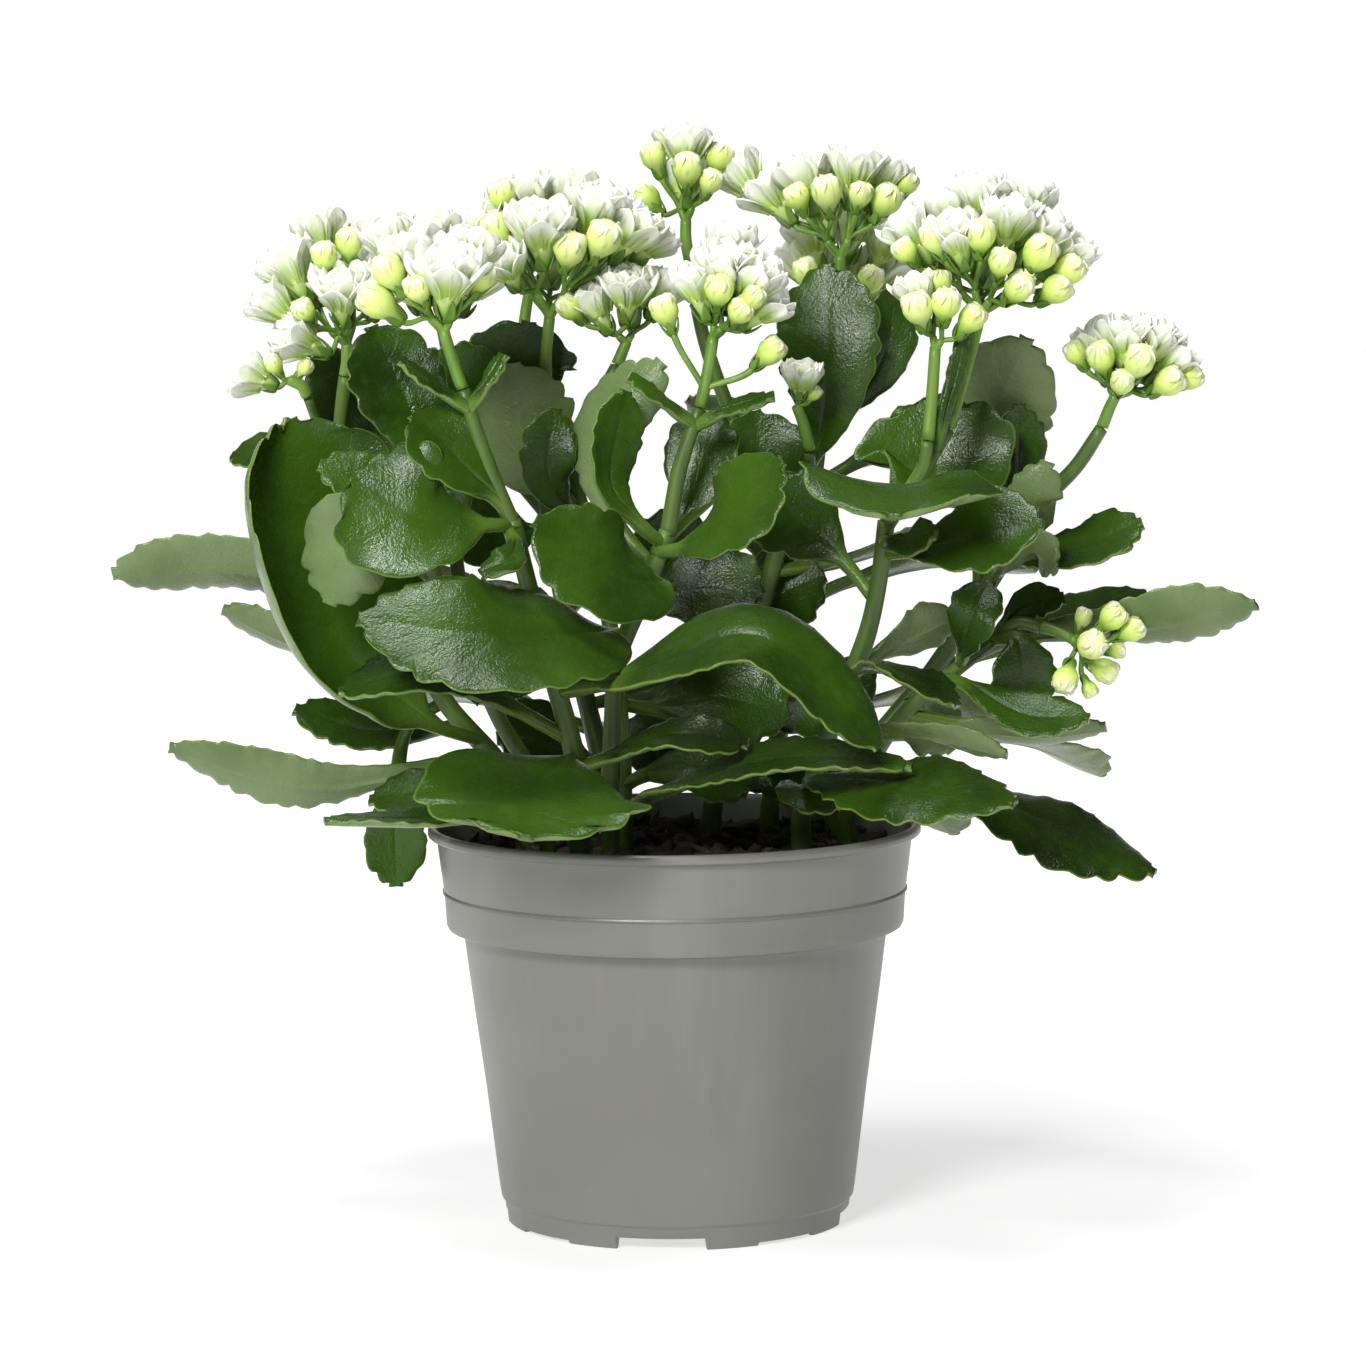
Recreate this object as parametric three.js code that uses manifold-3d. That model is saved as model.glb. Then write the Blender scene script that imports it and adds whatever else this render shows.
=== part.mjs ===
// Potted kalanchoe: a grey plastic grower's pot, potting soil, leafy stems and double white flower heads.
// Millimetres, +Z up. The origin is on the pot's axis, on the plane that the pot stands on.
// The front of the plant looks along -Y.
import * as THREE from "three";
import { mergeVertices } from "three/addons/utils/BufferGeometryUtils.js";
import Module from "manifold-3d";

const wasm = await Module();
wasm.setup();

// Driving dimensions of the pot
const POT_TOP = 97;
const RIM_RADIUS = 60;
const COLLAR_BOTTOM = 72;
const COLLAR_RADIUS = 55.7;
const BODY_TOP_RADIUS = 51.7;
const CREASE_HEIGHT = 5.5;
const BASE_RADIUS = 42.5;
const WALL = 1.3;
const FLOOR_UNDERSIDE = 3.4;
const FLOOR_TOP = 4.9;
const ROUND_STEPS = 24;
const SOIL_STEPS = 12;
const SKIRT_WIDTH = 2.6;
const NOTCH_COUNT = 4;
const NOTCH_ANGLE = 30;
const NOTCH_HEIGHT = 2.8;
const FIRST_NOTCH = -95.5;
const PAD_ANGLE = 18;
const PAD_STEP = 0.8;
const DRAIN_RADIUS = 3.2;
const DRAIN_CIRCLE = 31;

// Driving dimensions of the soil and of the plant
const GAP = 0.3;
const SOIL_HEIGHT = 90;
const SOIL_BUMP = 1.4;
const HOLE_BOTTOM = 66;
const HOLE_CLEARANCE = 0.6;
const EYE_DISTANCE = 1200;
const EYE_HEIGHT = 253;
const STEM_SIDES = 5;
const PETIOLE_HALF_WIDTH = 1.9;
const PETIOLE_THICKNESS = 3.4;
const BLADE_THICKNESS = 1.9;
const TOOTH_DEPTH = 0.17;
const HEAD_STEM_RADIUS = 1.5;
const ROOT_SHARE = 0.35;
const BLOOM_POINTS = 6;
const BUD_SIDES = 5;
const CORE_SIDES = 6;
const HEAD_STEM_SIDES = 5;
const SIDE_STALK_RADIUS = 0.7;
const UPWARD_TURN = 0.35;

const random = seededRandom(20240611);

// A small repeatable random number generator, from 0 to 1
function seededRandom(seed) {
  let state = seed;
  return () => {
    state = (state * 1664525 + 1013904223) % 4294967296;
    return state / 4294967296;
  };
}

function between(low, high) {
  return low + (high - low) * random();
}

// A place as it appears from the front, on the plane through the pot's axis, moved to its true depth
function seen(x, z, depth) {
  const reach = 1 + depth / EYE_DISTANCE;
  return new THREE.Vector3(x * reach, depth, EYE_HEIGHT + (z - EYE_HEIGHT) * reach);
}

function places(rows) {
  return rows.map(([x, z, depth]) => seen(x, z, depth));
}

// Solids

function solid(geometry) {
  const plain = geometry.index ? geometry.toNonIndexed() : geometry.clone();
  plain.deleteAttribute("normal");
  plain.deleteAttribute("uv");
  const merged = mergeVertices(plain, 1e-4);
  const index = merged.index.array;
  const triangles = [];
  for (let i = 0; i < index.length; i += 3) {
    const [a, b, c] = [index[i], index[i + 1], index[i + 2]];
    if (a !== b && b !== c && c !== a) {
      triangles.push(a, b, c);
    }
  }
  const mesh = new wasm.Mesh({
    numProp: 3,
    vertProperties: new Float32Array(merged.attributes.position.array),
    triVerts: new Uint32Array(triangles),
  });
  return new wasm.Manifold(mesh);
}

function geometryOf(manifold) {
  const mesh = manifold.getMesh();
  const geometry = new THREE.BufferGeometry();
  geometry.setAttribute("position", new THREE.BufferAttribute(new Float32Array(mesh.vertProperties), 3));
  geometry.setIndex(new THREE.BufferAttribute(new Uint32Array(mesh.triVerts), 1));
  geometry.computeVertexNormals();
  return geometry;
}

function joined(solids) {
  return solids.reduce((whole, piece) => whole.add(piece));
}

function piece(name, manifold, material) {
  const mesh = new THREE.Mesh(geometryOf(manifold), material);
  mesh.name = name;
  return mesh;
}

// A profile of [radius, height] points turned about the Z axis
function turned(profile, steps) {
  const points = profile.map(([radius, height]) => new THREE.Vector2(radius, height));
  const geometry = new THREE.LatheGeometry(points, steps);
  geometry.rotateX(Math.PI / 2);
  return geometry;
}

// A round bar of even thickness along a curve
function bar(curve, radius, steps, sides = STEM_SIDES) {
  const section = new THREE.Shape();
  for (let i = 0; i < sides; i += 1) {
    const angle = (2 * Math.PI * i) / sides;
    const point = [radius * Math.cos(angle), radius * Math.sin(angle)];
    if (i === 0) {
      section.moveTo(...point);
    } else {
      section.lineTo(...point);
    }
  }
  section.closePath();
  const settings = { steps, extrudePath: curve, bevelEnabled: false, curveSegments: 1 };
  return new THREE.ExtrudeGeometry(section, settings);
}

// Rings of points from a start point to an end point, closed to one skin
function skin(start, rings, end) {
  const count = rings[0].length;
  const points = [start, ...rings.flat(), end];
  const last = points.length - 1;
  const index = [];
  for (let j = 0; j < count; j += 1) {
    const next = (j + 1) % count;
    index.push(0, 1 + next, 1 + j);
    for (let i = 0; i < rings.length - 1; i += 1) {
      const here = 1 + i * count;
      const above = here + count;
      index.push(here + j, here + next, above + next);
      index.push(here + j, above + next, above + j);
    }
    const top = 1 + (rings.length - 1) * count;
    index.push(top + j, top + next, last);
  }
  return surface(points, index);
}

function surface(points, index) {
  const numbers = points.flatMap((point) => [point.x, point.y, point.z]);
  const geometry = new THREE.BufferGeometry();
  geometry.setAttribute("position", new THREE.Float32BufferAttribute(numbers, 3));
  geometry.setIndex(index);
  return geometry;
}

// Two directions square to the given one
function crossways(along) {
  const helper = Math.abs(along.z) > 0.9 ? new THREE.Vector3(1, 0, 0) : new THREE.Vector3(0, 0, 1);
  const side = new THREE.Vector3().crossVectors(along, helper).normalize();
  const other = new THREE.Vector3().crossVectors(along, side).normalize();
  return [side, other];
}

// Pot: collar, tapered wall, raised floor, skirt with drainage notches and pads

function potSolid() {
  const outside = [
    [BASE_RADIUS - SKIRT_WIDTH, 0],
    [BASE_RADIUS - 0.8, 0],
    [BASE_RADIUS, CREASE_HEIGHT - 0.3],
    [BASE_RADIUS + 0.7, CREASE_HEIGHT + 0.4],
    [47.6, 41],
    [BODY_TOP_RADIUS, COLLAR_BOTTOM - 0.8],
    [COLLAR_RADIUS - 1, COLLAR_BOTTOM],
    [COLLAR_RADIUS, COLLAR_BOTTOM + 1.2],
    [57.9, POT_TOP - 3.2],
    [RIM_RADIUS, POT_TOP - 2.4],
    [RIM_RADIUS - 0.2, POT_TOP - 0.6],
    [RIM_RADIUS - 1.2, POT_TOP],
  ];
  const inside = [
    [57.6, POT_TOP - 0.6],
    [COLLAR_RADIUS - WALL, COLLAR_BOTTOM + 2],
    [BODY_TOP_RADIUS - WALL, COLLAR_BOTTOM],
    [BASE_RADIUS + 0.7 - WALL, FLOOR_TOP + 1.5],
    [BASE_RADIUS - WALL - 1, FLOOR_TOP],
    [0, FLOOR_TOP],
  ];
  const underside = [
    [0, FLOOR_UNDERSIDE],
    [BASE_RADIUS - SKIRT_WIDTH - 0.6, FLOOR_UNDERSIDE],
  ];
  let pot = solid(turned([...underside, ...outside, ...inside], ROUND_STEPS));
  for (let i = 0; i < NOTCH_COUNT; i += 1) {
    const notch = FIRST_NOTCH + (360 / NOTCH_COUNT) * i;
    pot = pot.subtract(skirtCut(notch, NOTCH_ANGLE, NOTCH_HEIGHT));
    pot = pot.subtract(skirtCut(notch + 45, 60 - 2 * PAD_ANGLE, PAD_STEP));
    pot = pot.subtract(drain(notch));
  }
  return pot;
}

// A block across the skirt, as wide as the given angle and as high as the given height
function skirtCut(angle, width, height) {
  const length = 8;
  const across = 2 * BASE_RADIUS * Math.sin(THREE.MathUtils.degToRad(width / 2));
  const block = new THREE.BoxGeometry(length, across, height + 1);
  block.translate(BASE_RADIUS - 1, 0, (height - 1) / 2);
  block.rotateZ(THREE.MathUtils.degToRad(angle));
  return solid(block);
}

function drain(angle) {
  const hole = new THREE.CylinderGeometry(DRAIN_RADIUS, DRAIN_RADIUS, 6, 8);
  hole.rotateX(Math.PI / 2);
  hole.translate(DRAIN_CIRCLE, 0, (FLOOR_UNDERSIDE + FLOOR_TOP) / 2);
  hole.rotateZ(THREE.MathUtils.degToRad(angle));
  return solid(hole);
}

// Soil: fills the pot to just below the rim, with a crumbly top and a plain hole for each stem

function soilSolid(stems) {
  const wallRadius = (height) => {
    const share = (height - COLLAR_BOTTOM - 2) / (POT_TOP - 0.6 - COLLAR_BOTTOM - 2);
    return COLLAR_RADIUS - WALL + share * (57.6 - COLLAR_RADIUS + WALL) - GAP;
  };
  const profile = [
    [0, FLOOR_TOP + GAP],
    [BASE_RADIUS - WALL - 1.6, FLOOR_TOP + GAP],
    [BASE_RADIUS + 0.3 - WALL, FLOOR_TOP + 1.9],
    [BODY_TOP_RADIUS - WALL - GAP, COLLAR_BOTTOM + 0.2],
    [COLLAR_RADIUS - WALL - GAP, COLLAR_BOTTOM + 2.3],
    [wallRadius(SOIL_HEIGHT), SOIL_HEIGHT],
    [44, SOIL_HEIGHT],
    [28, SOIL_HEIGHT],
    [13, SOIL_HEIGHT],
    [0, SOIL_HEIGHT],
  ];
  const geometry = turned(profile, SOIL_STEPS);
  const position = geometry.attributes.position;
  for (let i = 0; i < position.count; i += 1) {
    const [x, y, z] = [position.getX(i), position.getY(i), position.getZ(i)];
    if (z > SOIL_HEIGHT - 0.1 && Math.hypot(x, y) < 50) {
      const bump = Math.sin(0.21 * x + 1.3) * Math.cos(0.17 * y) + 0.5 * Math.sin(0.47 * x - 0.39 * y);
      position.setZ(i, SOIL_HEIGHT + SOIL_BUMP * bump);
    }
  }
  let soil = solid(geometry);
  for (const { line, radius } of stems) {
    soil = soil.subtract(stemHole(seen(...line[0]), radius));
  }
  return soil;
}

function stemHole({ x, y }, radius) {
  const depth = POT_TOP - HOLE_BOTTOM;
  const width = radius + HOLE_CLEARANCE;
  const hole = new THREE.CylinderGeometry(width, width, depth, 8);
  hole.rotateX(Math.PI / 2);
  hole.translate(x, y, HOLE_BOTTOM + depth / 2);
  return solid(hole);
}

// Leaves

// Half of the blade's width at a share of its length, as a share of the widest
function bladeWidth(share) {
  return (Math.pow(share, 0.9) * Math.pow(1 - Math.pow(share, 2.6), 0.58)) / 0.542;
}

// Shares of the length where the blade has a row of points, and how far each tooth row reaches out
function bladeRows(teeth, petiole) {
  const rows = [{ at: 0.02, tooth: 0, blade: -1 }];
  rows.push({ at: petiole, tooth: 0, blade: 0.02 });
  const first = 0.26;
  const step = (0.975 - first) / (2 * teeth - 1);
  for (let i = 0; i < 2 * teeth; i += 1) {
    const blade = first + step * i;
    rows.push({ at: petiole + (1 - petiole) * blade, tooth: i % 2 === 0 ? 1 : -1, blade });
  }
  return rows;
}

// One leaf with its petiole. Its line runs from the stem to the tip, and its upper side looks to face.
// cup bends its two sides towards face, and lean bends one side more than the other.
// A taper below 1 moves its widest place towards the stem.
function leafSolid(leaf) {
  const { line, half, face, tipFace = face, cup = 0.18, lean = 0, taper = 1 } = leaf;
  const { teeth = 2, across = 2, petiole = 0.16 } = leaf;
  const spine = new THREE.CatmullRomCurve3(places(line), false, "catmullrom", 0.5);
  const baseFace = new THREE.Vector3(...face).normalize();
  const endFace = new THREE.Vector3(...tipFace).normalize();
  const rings = [];
  for (const { at, tooth, blade } of bladeRows(teeth, petiole)) {
    const centre = spine.getPointAt(at);
    const along = spine.getTangentAt(at);
    const look = baseFace.clone().lerp(endFace, at);
    const side = new THREE.Vector3().crossVectors(along, look).normalize();
    const up = new THREE.Vector3().crossVectors(side, along).normalize();
    const open = Math.max(0, blade);
    const share = Math.pow(open, taper);
    const width = Math.max(PETIOLE_HALF_WIDTH, half * bladeWidth(share) * (1 + TOOTH_DEPTH * 0.5 * tooth));
    const thick = THREE.MathUtils.lerp(PETIOLE_THICKNESS, BLADE_THICKNESS, Math.min(1, open * 3));
    const cell = (place, level) => {
      const edge = Math.abs(place);
      const turn = 2 * (cup + lean * Math.sign(place)) * Math.min(1, open * 5) + 1e-4;
      const bend = turn * edge;
      const sideways = (width * Math.sin(bend) * Math.sign(place)) / turn;
      const lift = (width * (1 - Math.cos(bend))) / turn;
      const depth = 0.5 * thick * Math.sqrt(1 - edge * edge) * level;
      const outwards = sideways - depth * Math.sin(bend) * Math.sign(place);
      const point = centre.clone().addScaledVector(side, outwards);
      return point.addScaledVector(up, lift + depth * Math.cos(bend));
    };
    const ring = [];
    for (let j = 0; j < across; j += 1) {
      ring.push(cell(-1 + (2 * j) / across, 1));
    }
    for (let j = across; j > 0; j -= 1) {
      ring.push(cell(-1 + (2 * j) / across, -1));
    }
    rings.push(ring);
  }
  return solid(bladeSkin(spine.getPointAt(0), rings, spine.getPointAt(1), across));
}

// Like skin, but each quad of the lower sheet is split along the same line as the one above it
function bladeSkin(start, rings, end, across) {
  const count = 2 * across;
  const points = [start, ...rings.flat(), end];
  const last = points.length - 1;
  const index = [];
  for (let j = 0; j < count; j += 1) {
    const next = (j + 1) % count;
    index.push(0, 1 + next, 1 + j);
    const top = 1 + (rings.length - 1) * count;
    index.push(top + j, top + next, last);
    for (let i = 0; i < rings.length - 1; i += 1) {
      const here = 1 + i * count;
      const above = here + count;
      if (j < across) {
        index.push(here + j, here + next, above + next);
        index.push(here + j, above + next, above + j);
      } else {
        index.push(here + j, here + next, above + j);
        index.push(here + next, above + next, above + j);
      }
    }
  }
  return surface(points, index);
}

// Flower heads

// A bud: a cone up from its root and a blunt tip over it
function budSolid(root, centre, radius) {
  const along = centre.clone().sub(root).normalize();
  const [side, other] = crossways(along);
  const ring = starRing(centre, side, other, { points: BUD_SIDES, tip: radius, notch: radius });
  return solid(skin(root, [ring], centre.clone().addScaledVector(along, 1.3 * radius)));
}

// A ring of points whose even ones reach the tip and whose odd ones the notch
function starRing(centre, side, other, { points, tip, notch, along, rise = 0, turn = 0, phase = 0 }) {
  const ring = [];
  for (let j = 0; j < points; j += 1) {
    const outward = (j + phase) % 2 === 0;
    const reach = outward ? tip : notch;
    const angle = turn + (2 * Math.PI * j) / points;
    const point = centre.clone();
    point.addScaledVector(side, reach * Math.cos(angle));
    point.addScaledVector(other, reach * Math.sin(angle));
    if (rise !== 0 && outward) {
      point.addScaledVector(along, rise);
    }
    ring.push(point);
  }
  return ring;
}

// A double flower on its root: spread outer petals, upright inner petals between them, and a closed middle
function bloomSolid(root, centre, along, radius, turn) {
  const [side, other] = crossways(along);
  const at = (height) => centre.clone().addScaledVector(along, height * radius);
  const layer = (height, tip, notch, rise, phase) =>
    starRing(at(height), side, other, {
      points: BLOOM_POINTS,
      tip: tip * radius,
      notch: notch * radius,
      rise: rise * radius,
      along,
      turn,
      phase,
    });
  const rings = [layer(0, 1.05, 0.68, 0.25, 0), layer(0.5, 0.66, 0.4, 0.16, 1)];
  return solid(skin(root, rings, at(0.42)));
}

// One flower head on its stem. Each bloom and bud is [x, z, depth from the centre, radius].
// A dense head has a core, which its blooms and buds stand out of. The others fork from the top of the stem.
// Side buds are [x, z, depth, radius] and stand on stalks of their own from lower down the stem.
function headSolid({ stem, centre, core, blooms, buds, behind = 0, sideBuds = [] }) {
  const line = new THREE.CatmullRomCurve3(places(stem), false, "catmullrom", 0.5);
  const middle = seen(...centre);
  const fork = line.getPointAt(1);
  const parts = [solid(bar(line, HEAD_STEM_RADIUS, 2, HEAD_STEM_SIDES))];
  const sunk = fork.clone().addScaledVector(line.getTangentAt(1), -0.8);
  if (core > 0) {
    parts.push(coreSolid(sunk, middle, core));
  }
  const spots = blooms.map(([x, z, depth, radius]) => [seen(x, z, centre[2] + depth), radius]);
  for (let i = 0; i < behind; i += 1) {
    const angle = Math.PI * ((i + 0.5) / behind);
    const place = middle.clone();
    place.x += core * Math.cos(angle) * between(0.95, 1.15);
    place.y += core * Math.sin(angle) * between(0.95, 1.15);
    place.z += core * between(-0.1, 0.45);
    spots.push([place, between(4.6, 5.6)]);
  }
  const root = core > 0 ? sunk.clone().lerp(middle, ROOT_SHARE) : sunk;
  for (const [place, radius] of spots) {
    const along = place.clone().sub(fork).normalize();
    along.z += UPWARD_TURN;
    along.normalize();
    parts.push(bloomSolid(root, place, along, radius, between(0, 1.5)));
  }
  for (const [x, z, depth, radius] of buds) {
    const place = seen(x, z, centre[2] + depth);
    parts.push(budSolid(root, place, radius));
  }
  for (const [x, z, depth, radius] of sideBuds) {
    const place = seen(x, z, depth);
    const low = line.getPointAt(0.25);
    const near = low.clone().lerp(place, 0.7);
    parts.push(solid(bar(new THREE.LineCurve3(low, near), SIDE_STALK_RADIUS, 1)));
    parts.push(budSolid(near.clone().lerp(low, 0.1), place, radius));
  }
  return joined(parts);
}

// The core of a dense head: a cone up from the fork with a low dome
function coreSolid(fork, middle, radius) {
  const along = middle.clone().sub(fork).normalize();
  const [side, other] = crossways(along);
  const rows = [
    [-0.1, 0.85],
    [0.45, 0.62],
  ];
  const rings = rows.map(([height, width]) => {
    const centre = middle.clone().addScaledVector(along, height * radius);
    const reach = width * radius;
    return starRing(centre, side, other, { points: CORE_SIDES, tip: reach, notch: reach });
  });
  return solid(skin(fork, rings, middle.clone().addScaledVector(along, 0.6 * radius)));
}

// Leafy stems. Each rises straight out of the soil to the start of its line. It has branches and leaves.
// A leaf runs along its line from the stem to the tip. half is its half width.

const LEAFY_STEMS = [
  {
    name: "leafy_stem_front_left",
    radius: 2.7,
    line: [[-23, 98, -29], [-24, 113, -31], [-28.5, 131, -35], [-34, 152, -38], [-38.5, 171, -40]],
    branches: [{ radius: 1.9, line: [[-38, 169, -40], [-44, 184, -41], [-50, 202.5, -42]] }],
    leaves: [
      { line: [[-24, 112, -31], [-26, 112, -42], [-33, 106, -62], [-36, 93.5, -84]],
        half: 27, face: [0.12, -0.25, 1], cup: 0.05, teeth: 5, across: 3 },
      { line: [[-26, 118, -32], [-42, 127, -38], [-60, 134, -46], [-81, 129.5, -46]],
        half: 11, face: [0, -0.6, 1], lean: -0.1 },
      { line: [[-27, 129, -35], [-13, 132, -52], [21, 142, -62], [50, 115, -67]],
        half: 17, face: [0, -0.5, 1], tipFace: [0.45, -0.8, 0.7], cup: 0.05, lean: 0.3, teeth: 5, across: 3,
        taper: 0.8 },
      { line: [[-39, 170, -40], [-45, 170, -45], [-60, 171, -50], [-77, 182, -48]],
        half: 17, face: [-0.1, -0.9, 0.45], cup: 0.05, teeth: 5 },
      { line: [[-39, 171, -40], [-42, 176, -41], [-50, 184, -44], [-62, 197, -42]],
        half: 9.5, face: [0.3, -0.8, 0.4] },
      { line: [[-39, 168, -41], [-38, 165, -46], [-40, 161, -52], [-46, 158, -54]],
        half: 4.5, face: [0.2, -0.5, 0.9], teeth: 2 },
      { line: [[-48.5, 198, -42], [-53, 201, -44], [-59, 205, -46], [-65, 210, -46]],
        half: 3, face: [0.2, -0.5, 0.8], teeth: 2 },
      { line: [[-48.5, 198, -42], [-46, 201.5, -43], [-43, 206, -43], [-40, 211, -42]],
        half: 2.4, face: [-0.2, -0.5, 0.8], teeth: 2 },
      { line: [[-24, 110, -31], [-16, 113, -38], [0, 118, -45], [18, 116, -46]],
        half: 8, face: [0, -0.5, 1] },
    ],
  },
  {
    name: "leafy_stem_front_middle",
    radius: 2.2,
    line: [
      [-15.5, 98, -16], [-15, 117, -18], [-13, 138, -20], [-8, 150, -21], [-4, 160, -22], [-1, 168, -22],
    ],
    branches: [{ radius: 1.9, line: [[-1, 167, -22], [2, 183, -22], [7, 197.5, -22]] }],
    leaves: [
      { line: [[-12, 143, -20], [-20, 143, -44], [-44, 143, -62], [-76, 147.5, -62]],
        half: 18, face: [0, -0.8, 0.6], cup: 0.03, lean: -0.12, teeth: 5, across: 3, taper: 0.6 },
      { line: [[-5, 156, -21], [-3, 155, -32], [-14, 158, -43], [-33, 171, -45]],
        half: 14, face: [0.15, -0.85, 0.6], cup: 0.05, teeth: 5, taper: 0.7 },
      { line: [[-4, 163, -22], [3, 164, -30], [13, 170, -40], [27, 185, -44]],
        half: 12, face: [-0.35, -0.75, 0.75], cup: 0.1, teeth: 5 },
      { line: [[-1, 166, -21], [4, 173, -14], [7, 184, -11], [10, 197, -8]],
        half: 9.5, face: [-0.2, -0.9, 0.3] },
      { line: [[-2, 165, -22], [-8, 170, -26], [-15, 181, -26], [-11, 202, -20]],
        half: 7, face: [0.5, -0.75, 0.3], cup: 0.25 },
      { line: [[-5, 160, -21], [-14, 172, -15], [-17, 192, -12], [-2, 209, -13]],
        half: 9, face: [0.3, 0.8, -0.2], cup: 0.2 },
      { line: [[6, 193.5, -22], [2, 196.5, -24], [-4, 201, -26], [-10, 205.5, -27]],
        half: 2.8, face: [0.2, -0.6, 0.8], teeth: 2 },
      { line: [[6, 193.5, -22], [12, 196.5, -24], [18, 198.5, -26], [25, 200.5, -27]],
        half: 3, face: [-0.2, -0.6, 0.8], teeth: 2 },
    ],
  },
  {
    name: "leafy_stem_middle",
    radius: 2,
    line: [[-12, 98, -3], [-13, 126, -3], [-16, 150, 2], [-22, 175, 5], [-27, 192, 7], [-30, 204, 8]],
    branches: [{ radius: 1.6, line: [[-24, 182, 6], [-20, 195, 8], [-13, 208, 9]] }],
    leaves: [
      { line: [[-12, 100, -3], [-2, 105, -34], [28, 112, -54], [58, 110, -60]],
        half: 10, face: [0, -0.35, 1] },
      { line: [[-23, 175, 5], [-30, 180, 2], [-35, 188, -1], [-38, 209, -1]],
        half: 13.5, face: [0.1, 0.95, -0.1], cup: 0.2, taper: 0.8 },
      { line: [[-22, 172, 5], [-27, 176, -5], [-30, 184, -10], [-28, 198, -9]],
        half: 7, face: [0.1, -0.95, 0.2], teeth: 4 },
      { line: [[-27, 190, 7], [-32, 196, 12], [-36, 206, 16], [-34, 219, 16]],
        half: 14, face: [0, -1, 0.2], teeth: 4 },
      { line: [[-26, 188, 7], [-34, 193, 12], [-45, 201, 12], [-55, 213, 10]], half: 9, face: [0, -1, 0.3] },
      { line: [[-16, 150, 2], [-6, 152, 2], [8, 154, 0], [22, 152, -4]],
        half: 12, face: [0, -0.85, 0.5], teeth: 4 },
      { line: [[-14, 135, -2], [-24, 140, 2], [-40, 146, 2], [-54, 140, 0]],
        half: 12, face: [0, -0.8, 0.5] },
      { line: [[-13, 126, -2], [-4, 125, 1], [12, 127, 0], [28, 122, -2]], half: 12, face: [0, -0.8, 0.6] },
      { line: [[-12, 106, -3], [-6, 109, -8], [6, 110, -12], [18, 104, -14]], half: 8, face: [0, -0.8, 0.6] },
    ],
  },
  {
    name: "leafy_stem_left",
    radius: 2.8,
    line: [[-36, 98, 6], [-43, 112, 6], [-56, 128, 6], [-66, 150, 8], [-74, 172, 10], [-80, 188, 9]],
    branches: [
      { radius: 1.5, line: [[-80, 187, 9], [-80, 194, 8], [-78.5, 206, 5]] },
      { radius: 1.1, line: [[-80, 187, 9], [-84, 192, 6], [-87.5, 201, 0]] },
    ],
    leaves: [
      { line: [[-46, 117, 6], [-62, 124, -6], [-83, 146, -14], [-92, 196, -8]],
        half: 31, face: [0.4, -0.9, 0.25], cup: 0.5, lean: -0.25, teeth: 6, across: 4 },
      { line: [[-60, 138, 7], [-74, 150, 16], [-104, 160, 22], [-135.5, 159, 25]],
        half: 11, face: [0.1, 0.75, 0.7], teeth: 4 },
      { line: [[-57, 130, 7], [-70, 136, 18], [-92, 142, 24], [-109, 150, 26]],
        half: 9, face: [0.2, 0.6, 0.75] },
      { line: [[-43, 111, 6], [-56, 112, 4], [-88, 107, 0], [-122.5, 116.5, 0]],
        half: 9, face: [0, 0.75, 0.7], cup: 0.05, teeth: 4 },
      { line: [[-50, 122, 6], [-60, 120, 18], [-76, 120, 24], [-92, 125.5, 26]],
        half: 8, face: [0, -0.7, 0.8] },
      { line: [[-56, 127, 7], [-65, 120, 9], [-68, 101, 11], [-68, 82, 12]],
        half: 8, face: [0.2, -0.9, 0.2], petiole: 0.4 },
      { line: [[-78, 184, 9], [-86, 187, 14], [-94, 188, 20], [-106, 187, 24]],
        half: 9, face: [0.2, -0.5, 0.9] },
    ],
  },
  {
    name: "leafy_stem_low_left",
    radius: 2.1,
    line: [
      [-31, 98, -16], [-35, 110, -17], [-42, 122, -17], [-49, 140, -18], [-52, 160, -20], [-54, 178, -20],
    ],
    branches: [],
    leaves: [
      { line: [[-32, 100, -16], [-40, 101, -30], [-58, 98, -46], [-85, 98, -50]],
        half: 8, face: [0, -0.1, 1], cup: 0.15 },
      { line: [[-35, 109, -17], [-44, 107, -22], [-58, 105, -26], [-74, 103, -24]],
        half: 8, face: [0, -0.5, 0.8] },
      { line: [[-53, 164, -20], [-53, 176, 2], [-68, 192, 24], [-86, 211, 28]],
        half: 14, face: [0.3, -0.9, 0.1], teeth: 4 },
      { line: [[-54, 174, -20], [-58, 185, -16], [-64, 200, -14], [-72, 218, -10]],
        half: 12, face: [0.2, -0.9, 0.3], teeth: 4 },
      { line: [[-51, 152, -19], [-61, 160, -32], [-76, 168, -38], [-83, 151, -38]],
        half: 12, face: [0.4, 0.7, 0.5], cup: 0.2, teeth: 4 },
      { line: [[-54, 176, -20], [-62, 178, -28], [-72, 180, -32], [-85, 185, -32]],
        half: 8, face: [0, -0.75, 0.7] },
    ],
  },
  {
    name: "leafy_stem_right",
    radius: 2.5,
    line: [[31, 98, -12], [34, 107, -13], [40, 125, -15], [47, 142, -18], [50, 155, -20], [52, 170, -22]],
    branches: [
      { radius: 1.9, line: [[52, 169, -22], [60, 181, -18], [67, 192, -14]] },
      { radius: 1.4, line: [[58, 178, -19], [61, 183, -20], [62, 189, -20.5]] },
    ],
    leaves: [
      { line: [[52, 170, -22], [54, 176, -30], [56, 178, -44], [54, 171, -62]],
        half: 24, face: [0, -0.3, 1], cup: 0.16, teeth: 5 },
      { line: [[51, 162, -20], [58, 163, -28], [72, 166, -38], [90, 169, -44]],
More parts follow.
